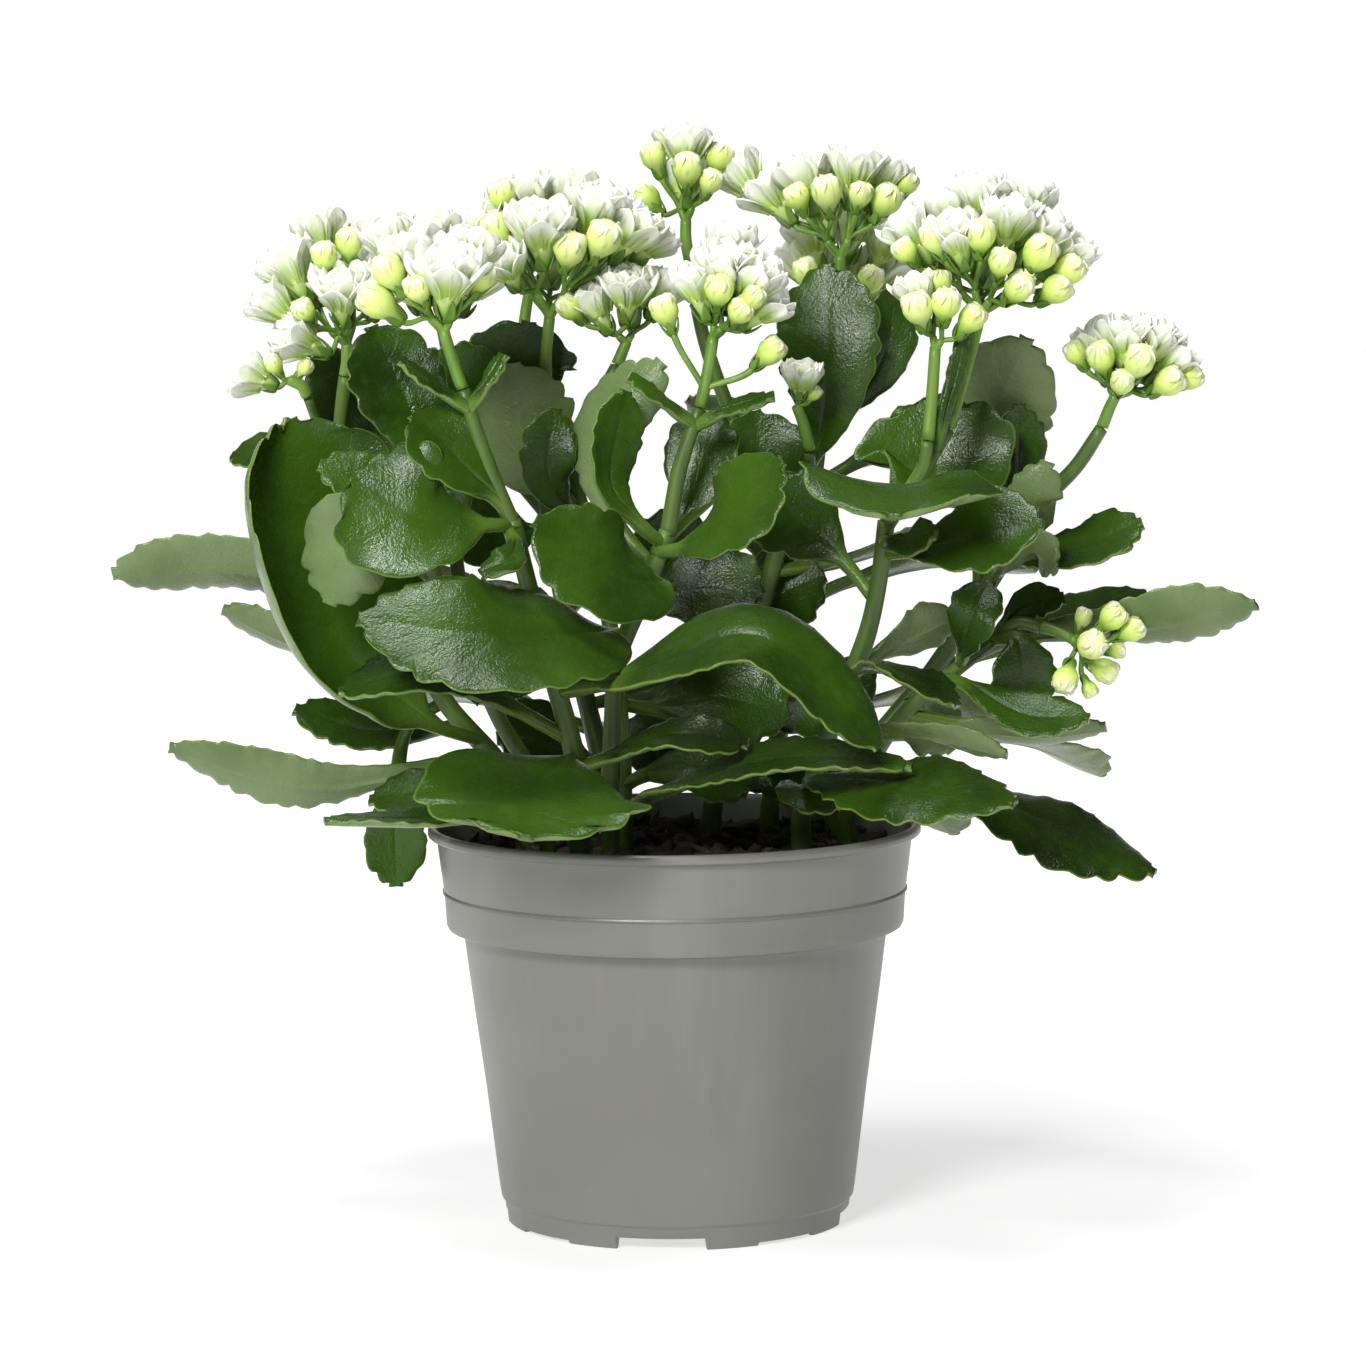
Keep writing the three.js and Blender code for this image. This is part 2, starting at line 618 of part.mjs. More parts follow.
        half: 12, face: [-0.1, -0.8, 0.7], teeth: 5 },
      { line: [[53, 172, -20], [58, 176, -10], [64, 181, 0], [62, 199, 6]],
        half: 20, face: [-0.1, -0.85, 0.6], cup: 0.2, teeth: 5 },
      { line: [[51, 165, -21], [53, 165, -27], [57, 165, -34], [64, 167, -40]],
        half: 5.5, face: [0, -0.8, 0.6] },
      { line: [[49, 151, -19], [42, 160, -15], [33, 168, -12], [22, 179, -11]],
        half: 12, face: [-0.1, -0.85, 0.5], teeth: 4, petiole: 0.3 },
      { line: [[43, 133, -16], [48, 135, -28], [57, 132, -40], [69, 125, -46]],
        half: 9, face: [0.2, -0.15, 1] },
      { line: [[39, 122, -15], [48, 119, -26], [62, 118, -38], [81, 113, -44]],
        half: 7, face: [0, 0.5, 0.9] },
      { line: [[33, 105, -13], [35, 107, -34], [54, 106, -58], [83, 101, -72]],
        half: 14, face: [0, -0.42, 0.9], cup: -0.05, teeth: 5 },
      { line: [[32, 101, -12], [30, 105, -24], [33, 104, -34], [41, 101, -36]],
        half: 7, face: [0.1, -0.8, 0.6] },
      { line: [[44, 135, -16], [50, 138, -10], [58, 142, -5], [69, 147, -4]],
        half: 7.5, face: [0, 0.75, 0.6] },
      { line: [[64, 187, -15.7], [66, 196, -19], [69, 206, -18.5], [71, 216, -18]],
        half: 2.4, face: [0.2, -0.9, 0.2], teeth: 2 },
    ],
  },
  {
    name: "leafy_stem_low_right",
    radius: 2.4,
    line: [[42, 98, 4], [46, 108, 3], [52, 118, 2], [60, 127, 0], [69, 134, -3], [78, 141, -6]],
    branches: [{ radius: 1.5, line: [[78, 141, -6], [84, 145, -8], [89, 144, -9]] }],
    leaves: [
      { line: [[78, 141, -6], [83, 141, -10], [85, 134, -11], [86, 125, -9]],
        half: 9, face: [0, -0.95, 0.3] },
      { line: [[70, 135, -3], [71, 140, -12], [73, 147, -16], [77, 155, -12]],
        half: 6.5, face: [-0.2, -0.9, 0.4] },
      { line: [[66, 132, -2], [73, 129, -12], [86, 122, -20], [101, 121.5, -24]],
        half: 8, face: [0, -0.6, 0.85] },
      { line: [[56, 123, 1], [72, 120, 4], [90, 118, 4], [105, 119.5, 2]], half: 7, face: [0, 0.6, 0.8] },
      { line: [[46, 107, 3], [60, 108, -10], [86, 98, -24], [117, 83.5, -30]],
        half: 14, face: [0.35, -0.45, 1], cup: -0.1, teeth: 5 },
      { line: [[72, 137, -4], [86, 142, 2], [112, 144, -10], [141.5, 149, -20]],
        half: 10, face: [0, 0.7, 0.7], teeth: 4 },
      { line: [[62, 128, -1], [60, 128, 8], [62, 122, 12], [68, 114, 12]], half: 8, face: [0, 0.8, -0.4] },
      { line: [[78, 141, -6], [83, 147, -2], [88, 150, 0], [95, 151, 0]], half: 5, face: [0, -0.8, 0.6] },
    ],
  },
  {
    name: "leafy_stem_back_right",
    radius: 2.4,
    line: [
      [39, 98, 24], [41, 105, 24], [50, 118, 24], [64, 135, 22], [77, 155, 16], [85, 168, 10], [92, 177, 6],
    ],
    branches: [{ radius: 1.9, line: [[91, 176, 6], [98, 183, 3], [104, 192, 1]] }],
    leaves: [
      { line: [[80, 160, 14], [87, 161, 2], [100, 163, -6], [114, 169, -8]],
        half: 9.5, face: [-0.1, -0.6, 0.8] },
      { line: [[82, 164, 12], [87, 170, -2], [88, 176, -14], [91, 184, -16]],
        half: 7, face: [0, 0.9, -0.3] },
      { line: [[78, 157, 15], [82, 160, 2], [88, 163, -6], [93, 158, -12]], half: 7, face: [0, 0.8, 0.5] },
      { line: [[74, 150, 18], [75, 172, 19], [77, 192, 14], [86, 214, 8]],
        half: 14, face: [0.2, 0.95, 0.2], cup: 0.15, teeth: 4 },
      { line: [[84, 166, 11], [84, 178, 10], [84, 188, 8], [84, 198, 6]], half: 7, face: [0, -0.95, 0.2] },
      { line: [[64, 134, 22], [76, 138, 30], [96, 146, 34], [118, 150, 36]], half: 12, face: [0, -0.3, 1] },
      { line: [[52, 118, 24], [66, 118, 30], [86, 116, 40], [104, 108, 50]],
        half: 15, face: [0.1, 0.1, 1], teeth: 4 },
    ],
  },
  {
    name: "leafy_stem_back_middle",
    radius: 2.6,
    line: [
      [9, 98, 16], [13, 120, 17], [20, 145, 18], [27, 168, 18], [33, 190, 18], [38, 210, 20], [41, 226, 22],
    ],
    branches: [
      { radius: 1.8, line: [[27, 168, 18], [17, 190, 24], [8, 215, 26], [5, 232, 26]] },
      { radius: 1.3, line: [[29, 176, 18], [33, 180, 8], [33.5, 187, 0.6]] },
    ],
    leaves: [
      { line: [[30, 178, 18], [36, 190, 10], [38, 208, 6], [38, 232, 12]],
        half: 13, face: [-0.25, -0.95, 0.2], cup: 0.05, teeth: 5 },
      { line: [[34, 192, 18], [45, 200, 14], [52, 212, 12], [54, 227, 14]],
        half: 7, face: [0.2, -0.95, 0.2], teeth: 4 },
      { line: [[27, 166, 18], [24, 172, 8], [22, 182, 4], [20, 197, 6]],
        half: 12, face: [0, -0.9, 0.4], teeth: 4 },
      { line: [[24, 158, 18], [38, 160, 26], [54, 164, 34], [72, 168, 40]],
        half: 13, face: [0, 0.2, 1], teeth: 4 },
      { line: [[18, 138, 18], [20, 144, 22], [26, 152, 22], [37, 157, 20]], half: 12, face: [0, -0.9, 0.5] },
      { line: [[13, 120, 17], [18, 124, 14], [28, 126, 10], [41, 124, 8]], half: 11, face: [0, -0.8, 0.6] },
      { line: [[10, 104, 16], [16, 108, 12], [24, 109, 10], [34, 106, 10]], half: 9, face: [0, -0.8, 0.6] },
      { line: [[11, 110, 16], [4, 114, 14], [-4, 117, 13], [-12, 112, 12]], half: 9, face: [0, -0.8, 0.6] },
      { line: [[20, 146, 18], [12, 152, 18], [2, 160, 16], [-8, 170, 12]], half: 12, face: [0, -0.9, 0.4] },
    ],
  },
  {
    name: "leafy_stem_back_left",
    radius: 2.6,
    line: [
      [-15, 98, 26], [-16, 105, 26.5], [-20, 122, 30], [-26, 148, 34], [-30, 172, 36], [-34, 196, 36],
      [-36, 212, 34],
    ],
    branches: [{ radius: 1.7, line: [[-30, 172, 36], [-44, 190, 42], [-52, 206, 46]] }],
    leaves: [
      { line: [[-20, 120, 30], [-32, 124, 40], [-56, 128, 52], [-80, 118, 62]],
        half: 20, face: [-0.1, 0.2, 1] },
      { line: [[-19, 116, 29], [-14, 120, 46], [-6, 120, 67], [2, 108, 81.5]],
        half: 22, face: [0, 0.3, 1] },
      { line: [[-26, 146, 34], [-40, 152, 42], [-64, 158, 52], [-88, 158, 60]],
        half: 17, face: [0, 0.3, 1] },
      { line: [[-26, 148, 34], [-20, 154, 46], [-12, 160, 62], [-4, 158, 79.5]],
        half: 17, face: [0.1, 0.5, 1] },
      { line: [[-31, 176, 36], [-42, 184, 42], [-60, 192, 46], [-76, 202, 46]],
        half: 13, face: [0.1, 0.4, 0.9] },
      { line: [[-31, 178, 36], [-28, 184, 48], [-30, 192, 60], [-34, 196, 72]],
        half: 12, face: [0, 0.5, 1] },
      { line: [[-16, 104, 26], [-24, 108, 40], [-36, 108, 56], [-46, 100, 74]],
        half: 15, face: [0, 0.2, 1] },
      { line: [[-21, 126, 31], [-12, 128, 32], [0, 131, 32], [14, 133, 32]], half: 10, face: [0, -0.9, 0.4] },
      { line: [[-26, 146, 34], [-34, 143, 32], [-42, 137, 30], [-49, 127, 28]],
        half: 12, face: [0, -0.9, 0.4] },
      { line: [[-17, 110, 27], [-24, 114, 24], [-34, 118, 22], [-43, 118, 20]],
        half: 10, face: [0, -0.9, 0.5] },
      { line: [[-30, 170, 36], [-36, 168, 30], [-44, 169, 27], [-54, 174, 26]],
        half: 11, face: [0, -0.9, 0.3] },
    ],
  },
  {
    name: "leafy_stem_rear",
    radius: 2.5,
    line: [[23, 98, 34], [26, 122, 38], [30, 146, 42], [33, 168, 44], [36, 190, 46], [38, 206, 48]],
    branches: [],
    leaves: [
      { line: [[26, 120, 38], [38, 124, 48], [58, 126, 60], [78, 116, 72]], half: 19, face: [0, 0.2, 1] },
      { line: [[26, 122, 38], [22, 126, 52], [16, 130, 69], [12, 122, 81.5]], half: 17, face: [0, 0.4, 1] },
      { line: [[31, 150, 42], [44, 156, 50], [66, 160, 58], [88, 158, 62]], half: 15, face: [0, 0.3, 1] },
      { line: [[31, 152, 42], [28, 158, 54], [26, 166, 69], [30, 168, 81.5]], half: 14, face: [0, 0.5, 1] },
      { line: [[34, 178, 45], [44, 184, 48], [58, 190, 48], [70, 200, 44]], half: 11, face: [0, 0.5, 1] },
      { line: [[34, 178, 45], [24, 184, 52], [14, 192, 56], [4, 200, 56]], half: 11, face: [0, 0.5, 1] },
      { line: [[24, 106, 34], [38, 108, 44], [56, 104, 58], [68, 94, 74]], half: 14, face: [0, 0.1, 1] },
      { line: [[30, 146, 42], [21, 149, 37], [10, 154, 34], [-6, 158, 32]], half: 12, face: [0, -0.9, 0.4] },
      { line: [[28, 133, 40], [34, 133, 36], [40, 130, 34], [47, 124, 33]], half: 9, face: [0, -0.9, 0.4] },
    ],
  },
];

function leafyStemSolid({ radius, line, branches, leaves }) {
  const above = places(line);
  const foot = [HOLE_BOTTOM + GAP, SOIL_HEIGHT].map((height) => above[0].clone().setZ(height));
  const path = [...foot, ...above];
  const parts = [solid(bar(new THREE.CatmullRomCurve3(path, false, "centripetal"), radius, 8))];
  for (const branch of branches) {
    const curve = new THREE.CatmullRomCurve3(places(branch.line), false, "centripetal");
    parts.push(solid(bar(curve, branch.radius, 4)));
  }
  parts.push(...leaves.map(leafSolid));
  return joined(parts);
}

// Flower heads. Blooms and buds stand on stalks that fork from the top of the head's stem.

const HEADS = [
  {
    name: "flower_head_left",
    stem: [[-78.5, 206.5, 5], [-78, 210, 4.5], [-78, 214, 4]],
    centre: [-80, 229, 4],
    core: 10,
    behind: 3,
    blooms: [
      [-92, 234, -4, 5.5], [-79, 228, -12, 5.5], [-91, 216, -6, 5], [-96, 225, -2, 5], [-84, 242, 4, 5],
      [-73, 240, 6, 5], [-68, 229, -2, 5],
    ],
    buds: [[-83, 235, -11, 3.2], [-77, 238, -9, 3.4], [-88, 222, -10, 2.8]],
  },
  {
    name: "flower_head_far_left",
    stem: [[-87.8, 201.8, -0.6], [-89, 204, -2], [-92, 205.5, -2.5]],
    centre: [-97, 206, -2],
    core: 0,
    blooms: [[-101, 206.5, -1, 4.2]],
    buds: [[-95.5, 209, -3, 2.2], [-88.5, 208, 0, 2]],
  },
  {
    name: "flower_head_front_left",
    stem: [[-50.2, 203.1, -42], [-52, 208.5, -42.5], [-54.5, 217, -43]],
    centre: [-57, 231, -43],
    core: 8,
    behind: 2,
    blooms: [
      [-53, 232, -9, 6.5], [-62, 237, -2, 5.6], [-67, 240, 3, 5], [-47, 237, 1, 5], [-57, 241, 4, 5],
    ],
    buds: [[-70, 224, -3, 4.2], [-60.5, 227, -9, 3.2], [-45.5, 229.5, -5, 3.4], [-67, 231, -6, 3.8]],
  },
  {
    name: "flower_head_middle",
    stem: [[-30, 204.6, 8], [-30, 211, 8], [-29, 220, 8]],
    centre: [-29, 237, 8],
    core: 13,
    behind: 3,
    blooms: [
      [-31, 243, -14, 6], [-17, 247, -8, 6.2], [-8, 242, -6, 5.4], [-45, 243, -6, 5.2], [-34, 250, -2, 5.4],
      [-23, 251, 0, 5.4], [-40, 234, -13, 4.6], [-3, 239, 0, 4.4],
    ],
    buds: [
      [-40, 249, -9, 3.4], [-41.5, 241, -12, 3.6], [-24, 236, -16, 4], [-16, 238.5, -15, 4.3],
      [-47, 235, -5, 3],
    ],
  },
  {
    name: "flower_head_inner",
    stem: [[-12.8, 208.5, 9], [-10.5, 214, 9]],
    centre: [-9, 226, 8],
    core: 5,
    behind: 1,
    blooms: [[-10, 228, -7, 5], [-19, 224, -2, 4.6], [-1, 227, 5, 4.4]],
    buds: [[-24, 222, -4, 3]],
  },
  {
    name: "flower_head_front",
    stem: [[7.2, 198.1, -22], [9, 206, -22], [10.5, 215, -22]],
    centre: [14, 227, -23],
    core: 6,
    behind: 2,
    blooms: [
      [14, 233, -6, 5.6], [21, 230, -5, 5.4], [7, 229, -2, 5], [24, 223.5, -1, 4.6], [15, 238, 4, 5],
    ],
    buds: [[12, 226, -9, 3.6], [17, 221, -8, 3.2], [20, 224, -9, 2.8]],
    sideBuds: [[-1, 221, -25, 3.4], [24, 211, -25, 3.2]],
  },
  {
    name: "flower_head_back_middle",
    stem: [[5, 232.6, 26], [4, 238, 26], [4, 243, 26]],
    centre: [4, 253, 26],
    core: 4,
    behind: 1,
    blooms: [[4, 262, 0, 5]],
    buds: [
      [4.5, 255, -6, 3.6], [-3.5, 258, -1, 3.2], [12, 257.5, 0, 3.4], [10, 252, -5, 3], [-5, 248, 4, 3.4],
    ],
  },
  {
    name: "flower_head_back_right",
    stem: [[41, 226.6, 22], [41, 230, 22], [41, 234, 22]],
    centre: [42, 246, 22],
    core: 8,
    behind: 2,
    blooms: [
      [32, 254, 0, 5.2], [45, 256, -2, 5.4], [52, 254, 2, 5], [38, 256, 5, 5], [24, 250, 4, 5],
      [17, 254, 8, 5],
    ],
    buds: [
      [38, 249, -8, 3.8], [52, 247, -5, 3.8], [46, 248.5, -8, 3], [31, 248, -6, 3.2], [57, 251, 0, 2.8],
    ],
  },
  {
    name: "flower_head_right",
    stem: [[67.3, 192.6, -14], [71, 205, -12], [75, 220, -10]],
    centre: [76, 234, -10],
    core: 12,
    behind: 3,
    blooms: [
      [66, 246, 0, 5.2], [74, 249, -2, 5.4], [82, 244, -6, 5.6], [90, 241, -2, 5.4], [96, 236, 2, 5],
      [58, 241, 0, 5], [86, 248, 4, 5], [69, 240, -11, 5],
    ],
    buds: [
      [75, 238.5, -14, 3.8], [89, 234, -10, 4.2], [96, 230, -6, 3.6], [84, 226, -11, 3.6],
      [64, 238, -10, 3.4], [57, 235, -5, 3], [93, 225.5, -7, 3.6], [80, 232, -14, 3.2],
    ],
  },
  {
    name: "flower_head_low_right",
    stem: [[62.1, 189.6, -20.6], [63, 198, -20], [64, 212, -20]],
    centre: [65, 221, -20],
    core: 0,
    blooms: [[60, 226, 2, 4.4]],
    buds: [[60, 221, -5, 3.8], [66.5, 222, -6, 3.6], [72.5, 218.5, -3, 3.2], [65, 227, 1, 3]],
  },
  {
    name: "flower_head_far_right",
    stem: [[104.2, 192.5, 1], [106, 197, 0.5], [107.5, 200, 0]],
    centre: [112, 209, 0],
    core: 8,
    behind: 2,
    blooms: [[110, 215, -4, 5.2], [117, 214, -3, 5], [122, 209, 0, 4.8], [104, 213, 2, 4.6]],
    buds: [
      [104, 209, -6, 3.6], [113, 208, -9, 3.8], [120, 203, -6, 3.6], [125, 204, -1, 3.2],
      [98, 210, -1, 2.8], [109, 203, -7, 3],
    ],
  },
  {
    name: "bud_cluster_right",
    stem: [[89.6, 144, -9], [93, 143, -11], [97, 141, -13]],
    centre: [103, 140, -16],
    core: 0,
    blooms: [],
    buds: [
      [101.5, 139.5, -7, 3.6], [106.5, 146, 0, 3.2], [111, 143, 2, 3], [99.5, 146, 3, 2.1],
      [107.5, 138, 1, 2], [95.5, 131.5, -1, 3.2], [104.5, 133.5, 0, 3], [101, 129, 2, 2],
    ],
  },
  {
    name: "flower_head_single",
    stem: [[33.4, 187.7, 0], [32, 194, -3], [30.5, 198, -5]],
    centre: [31, 204, -6],
    core: 0,
    blooms: [[31.5, 205, -1, 3.8]],
    buds: [[34.5, 201, 1, 1.8]],
  },
  {
    name: "flower_head_rear_left",
    stem: [[-52.2, 206.6, 46], [-54, 212, 47], [-55, 217, 48]],
    centre: [-56, 230, 50],
    core: 10,
    behind: 3,
    blooms: [[-66, 234, 0, 5.2], [-57, 240, 0, 5.4], [-47, 236, 0, 5.2]],
    buds: [[-62, 226, -9, 3.4], [-51, 227, -9, 3.4]],
  },
  {
    name: "flower_head_rear_middle",
    stem: [[-36, 212.6, 34], [-35, 220, 36], [-34, 226, 38]],
    centre: [-32, 238, 42],
    core: 9,
    behind: 3,
    blooms: [[-38, 247, 2, 5.2], [-26, 247, 2, 5.2]],
    buds: [],
  },
  {
    name: "flower_head_rear_right",
    stem: [[38, 206.6, 48], [39, 212, 49], [40, 218, 50]],
    centre: [42, 231, 52],
    core: 11,
    behind: 4,
    blooms: [[34, 240, 0, 5.2], [44, 243, 0, 5.4], [53, 238, 0, 5.2]],
    buds: [[33, 230, -8, 3.2], [48, 228, -9, 3.4]],
  },
];

// Materials

const material = (color, roughness) => new THREE.MeshStandardMaterial({ color, roughness, metalness: 0 });
const potPlastic = material(0x8c8d87, 0.42);
const peat = material(0x241c15, 0.95);
const leafGreen = material(0x3f6f1f, 0.35);
const petalWhite = material(0xe6efc8, 0.6);

const plant = new THREE.Group();
plant.add(piece("pot", potSolid(), potPlastic));
plant.add(piece("potting_soil", soilSolid(LEAFY_STEMS), peat));
for (const stem of LEAFY_STEMS) {
  plant.add(piece(stem.name, leafyStemSolid(stem), leafGreen));
}
for (const head of HEADS) {
  plant.add(piece(head.name, headSolid(head), petalWhite));
}

export default plant;
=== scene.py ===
import math

import bpy
import numpy as np
from mathutils import Matrix, Vector, noise


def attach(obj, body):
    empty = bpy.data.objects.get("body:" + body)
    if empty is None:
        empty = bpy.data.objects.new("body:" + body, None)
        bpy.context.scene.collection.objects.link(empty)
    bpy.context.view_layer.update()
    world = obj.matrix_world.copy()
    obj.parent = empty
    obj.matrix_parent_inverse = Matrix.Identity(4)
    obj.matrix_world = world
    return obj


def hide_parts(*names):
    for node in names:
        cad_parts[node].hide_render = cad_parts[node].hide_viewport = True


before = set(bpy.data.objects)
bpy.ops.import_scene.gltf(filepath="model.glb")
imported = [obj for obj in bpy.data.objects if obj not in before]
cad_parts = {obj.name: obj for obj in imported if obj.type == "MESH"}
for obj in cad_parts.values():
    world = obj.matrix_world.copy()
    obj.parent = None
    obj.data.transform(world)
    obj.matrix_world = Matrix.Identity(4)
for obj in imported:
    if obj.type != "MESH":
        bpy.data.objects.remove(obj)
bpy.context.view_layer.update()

# Lengths are in millimetres, as in the part's source, until MM turns them into metres
MM = 0.001

# The eye that the photograph was taken from, and its camera
EYE_DISTANCE = 1200
EYE_HEIGHT = 253
EYE_X = 2.4
LENS = 130.9
SENSOR = 36
LOOK_DOWN = math.radians(5.8)
ROLL = math.radians(0.5)

# The pot and the soil
COLLAR_BOTTOM = 72
FLOOR_UNDERSIDE = 3.4
FLOOR_TOP = 4.9
NOTCH_COUNT = 4
NOTCH_ANGLE = 30
NOTCH_HEIGHT = 2.8
FIRST_NOTCH = -95.5
PAD_ANGLE = 18
PAD_STEP = 0.8
SKIRT_TOP = 3.2
SKIRT_RADIUS = 42.2
DRAIN_RADIUS = 3.2
DRAIN_CIRCLE = 31
SHARP_EDGE = math.radians(38)
SOIL_BOTTOM = 5.3
SOIL_HEIGHT = 90
SOIL_BUMP = 1.4
SOIL_RADIUS = 55.9
HOLE_BOTTOM = 66
GAP = 0.3
CRUMB_COUNT = 620
GRAIN_EVERY = 26
FIBRE_EVERY = 5

# Leaves
PETIOLE_HALF_WIDTH = 1.9
PETIOLE_THICKNESS = 3.4
BLADE_THICKNESS = 1.9
LEAF_ROW_SPACING = 1.15
FEWEST_LEAF_ROWS = 22
MOST_LEAF_ROWS = 78
RIB_HALF_WIDTH = 0.07
RIPPLE_HEIGHT = 0.35
# Where a row of the blade has its points, as shares of its half width
HALF_ACROSS = [0, 0.03, 0.09, 0.2, 0.36, 0.54, 0.71, 0.85, 0.94, 0.985, 1]

# Flowers
HEAD_STEM_RADIUS = 1.5
BRANCH_RADIUS = 1.15
SIDE_STALK_RADIUS = 0.75
FLOWER_STALK_RADIUS = 0.62
STALK_FLARE = 0.16
UPWARD_TURN = 0.35
BLOOM_SIZE = 1.1
# Each layer of petals: how many, ring, lean in degrees, curl, length and half width.
# Sizes are shares of the flower's radius.
PETAL_LAYERS = [
    (7, 0.46, 22, 0.42, 1.72, 0.64),
    (7, 0.38, 16, 0.24, 1.74, 0.60),
    (6, 0.29, 10, 0.05, 1.70, 0.56),
    (6, 0.20, 6, -0.2, 1.58, 0.46),
    (5, 0.10, 2, -0.4, 1.44, 0.36),
]

# The materials of the leafy stems and of the flower heads, in their order
LEAF, STEM = range(2)
PETAL, STALK, BUD, FUNNEL, BUD_TIP = range(5)

# The light: a dim room with a white card behind the plant, and two soft lamps
ROOM_LIGHT = 0.07
CARD_LIGHT = 1.1
CARD_EDGE = (0.9, 0.96)
KEY_PLACE = (-0.6, -1.4, 1.0)
KEY_SIZE = 0.5
KEY_POWER = 31
TOP_PLACE = (-0.15, -0.2, 1.35)
TOP_SIZE = 0.4
TOP_POWER = 11
FLOOR_SIZE = 12

rng = np.random.default_rng(20240611)


def between(low, high):
    return low + (high - low) * rng.random()


def seen(x, z, depth):
    """A place as it appears from the front, on the plane through the pot's axis, moved to its true depth."""
    reach = 1 + depth / EYE_DISTANCE
    return np.array([x * reach, depth, EYE_HEIGHT + (z - EYE_HEIGHT) * reach])


def unit(v):
    v = np.asarray(v, dtype=float)
    return v / np.maximum(np.linalg.norm(v, axis=-1, keepdims=True), 1e-9)


class Line:
    """A smooth curve through points, read at shares of its length.

    Its speed at each point follows the distances between points to the power of ease.
    """

    def __init__(self, points, ease=0.0, dense=40):
        p = np.array(points, dtype=float)
        ends = np.vstack([2 * p[0] - p[1], p, 2 * p[-1] - p[-2]])
        t = np.linspace(0, 1, dense, endpoint=False)[:, None]
        pieces = []
        for a, b, c, d in zip(ends[:-3], ends[1:-2], ends[2:-1], ends[3:]):
            first, middle, last = (np.linalg.norm(v) ** ease for v in (b - a, c - b, d - c))
            leave = middle * ((b - a) / first - (c - a) / (first + middle) + (c - b) / middle)
            reach = middle * ((c - b) / middle - (d - b) / (middle + last) + (d - c) / last)
            square = 3 * (c - b) - 2 * leave - reach
            cubic = 2 * (b - c) + leave + reach
            pieces.append(b + leave * t + square * t**2 + cubic * t**3)
        self.dots = np.vstack([*pieces, p[-1:]])
        steps = np.linalg.norm(np.diff(self.dots, axis=0), axis=1)
        self.length = steps.sum()
        self.shares = np.concatenate([[0], np.cumsum(steps)]) / self.length
        self.last = unit(self.dots[-1] - self.dots[-2]) * self.length

    def at(self, shares):
        shares = np.asarray(shares, dtype=float)
        inside = np.stack([np.interp(shares, self.shares, self.dots[:, k]) for k in range(3)], axis=-1)
        return inside + np.maximum(shares - 1, 0)[..., None] * self.last

    def along(self, shares):
        shares = np.clip(np.asarray(shares, dtype=float), 0.01, 0.99)
        return unit(self.at(shares + 0.01) - self.at(shares - 0.01))


class Skin:
    """Collects closed forms for one mesh, with a material and a few values for each point."""

    VALUES = ("across", "length", "under", "tone")

    def __init__(self):
        self.points = []
        self.values = {name: [] for name in self.VALUES}
        self.faces = []
        self.slots = []
        self.count = 0

    def add(self, points, faces, slot, **values):
        """Points with faces that name them from 0."""
        self.points.append(points)
        for name in self.VALUES:
            value = np.asarray(values.get(name, 0.0), dtype=float)
            self.values[name].append(np.broadcast_to(value, len(points)))
        self.faces.extend((face + self.count).tolist() for face in faces)
        self.slots.extend([slot] * sum(len(face) for face in faces))
        self.count += len(points)

    def loft(self, rings, start, end, slot, **values):
        """Rings of points, each with as many, closed by a start and an end point."""
        rows, columns, _ = rings.shape
        points = np.vstack([start, rings.reshape(-1, 3), end])
        full = {}
        for name, value in values.items():
            value = np.broadcast_to(np.asarray(value, dtype=float), (rows, columns))
            full[name] = np.concatenate([[value[0].mean()], value.ravel(), [value[-1].mean()]])
        j = np.arange(columns)
        following = (j + 1) % columns
        row = 1 + columns * np.arange(rows - 1)[:, None]
        here, above = row, row + columns
        quads = np.stack([here + j, here + following, above + following, above + j], axis=-1).reshape(-1, 4)
        top = 1 + (rows - 1) * columns
        first = np.stack([np.zeros_like(j), 1 + following, 1 + j], axis=-1)
        last = np.stack([top + j, top + following, np.full_like(j, top + columns)], axis=-1)
        self.add(points, [quads, first, last], slot, **full)

    def finish(self, name, materials, slot_name, *nodes):
        """The mesh as a piece that stands for CAD nodes."""
        mesh = bpy.data.meshes.new(name)
        faces = [face for chunk in self.faces for face in chunk]
        mesh.from_pydata((np.vstack(self.points) * MM).tolist(), [], faces)
        mesh.polygons.foreach_set("material_index", self.slots)
        mesh.polygons.foreach_set("use_smooth", [True] * len(faces))
        for value_name, chunks in self.values.items():
            attribute = mesh.attributes.new(value_name, "FLOAT", "POINT")
            attribute.data.foreach_set("value", np.concatenate(chunks))
        for material in materials:
            mesh.materials.append(material)
        mesh.update()
        piece = bpy.data.objects.new(name, mesh)
        bpy.context.collection.objects.link(piece)
        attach(piece, "root")
        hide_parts(*nodes)
        return piece


def crossways(along, hint=(0, 0, 1)):
    """Two directions square to the given one."""
    helper = np.array(hint, dtype=float)
    if abs(np.dot(helper, along)) > 0.9:
        helper = np.array([1.0, 0, 0])
    side = unit(np.cross(along, helper))
    return side, unit(np.cross(along, side))


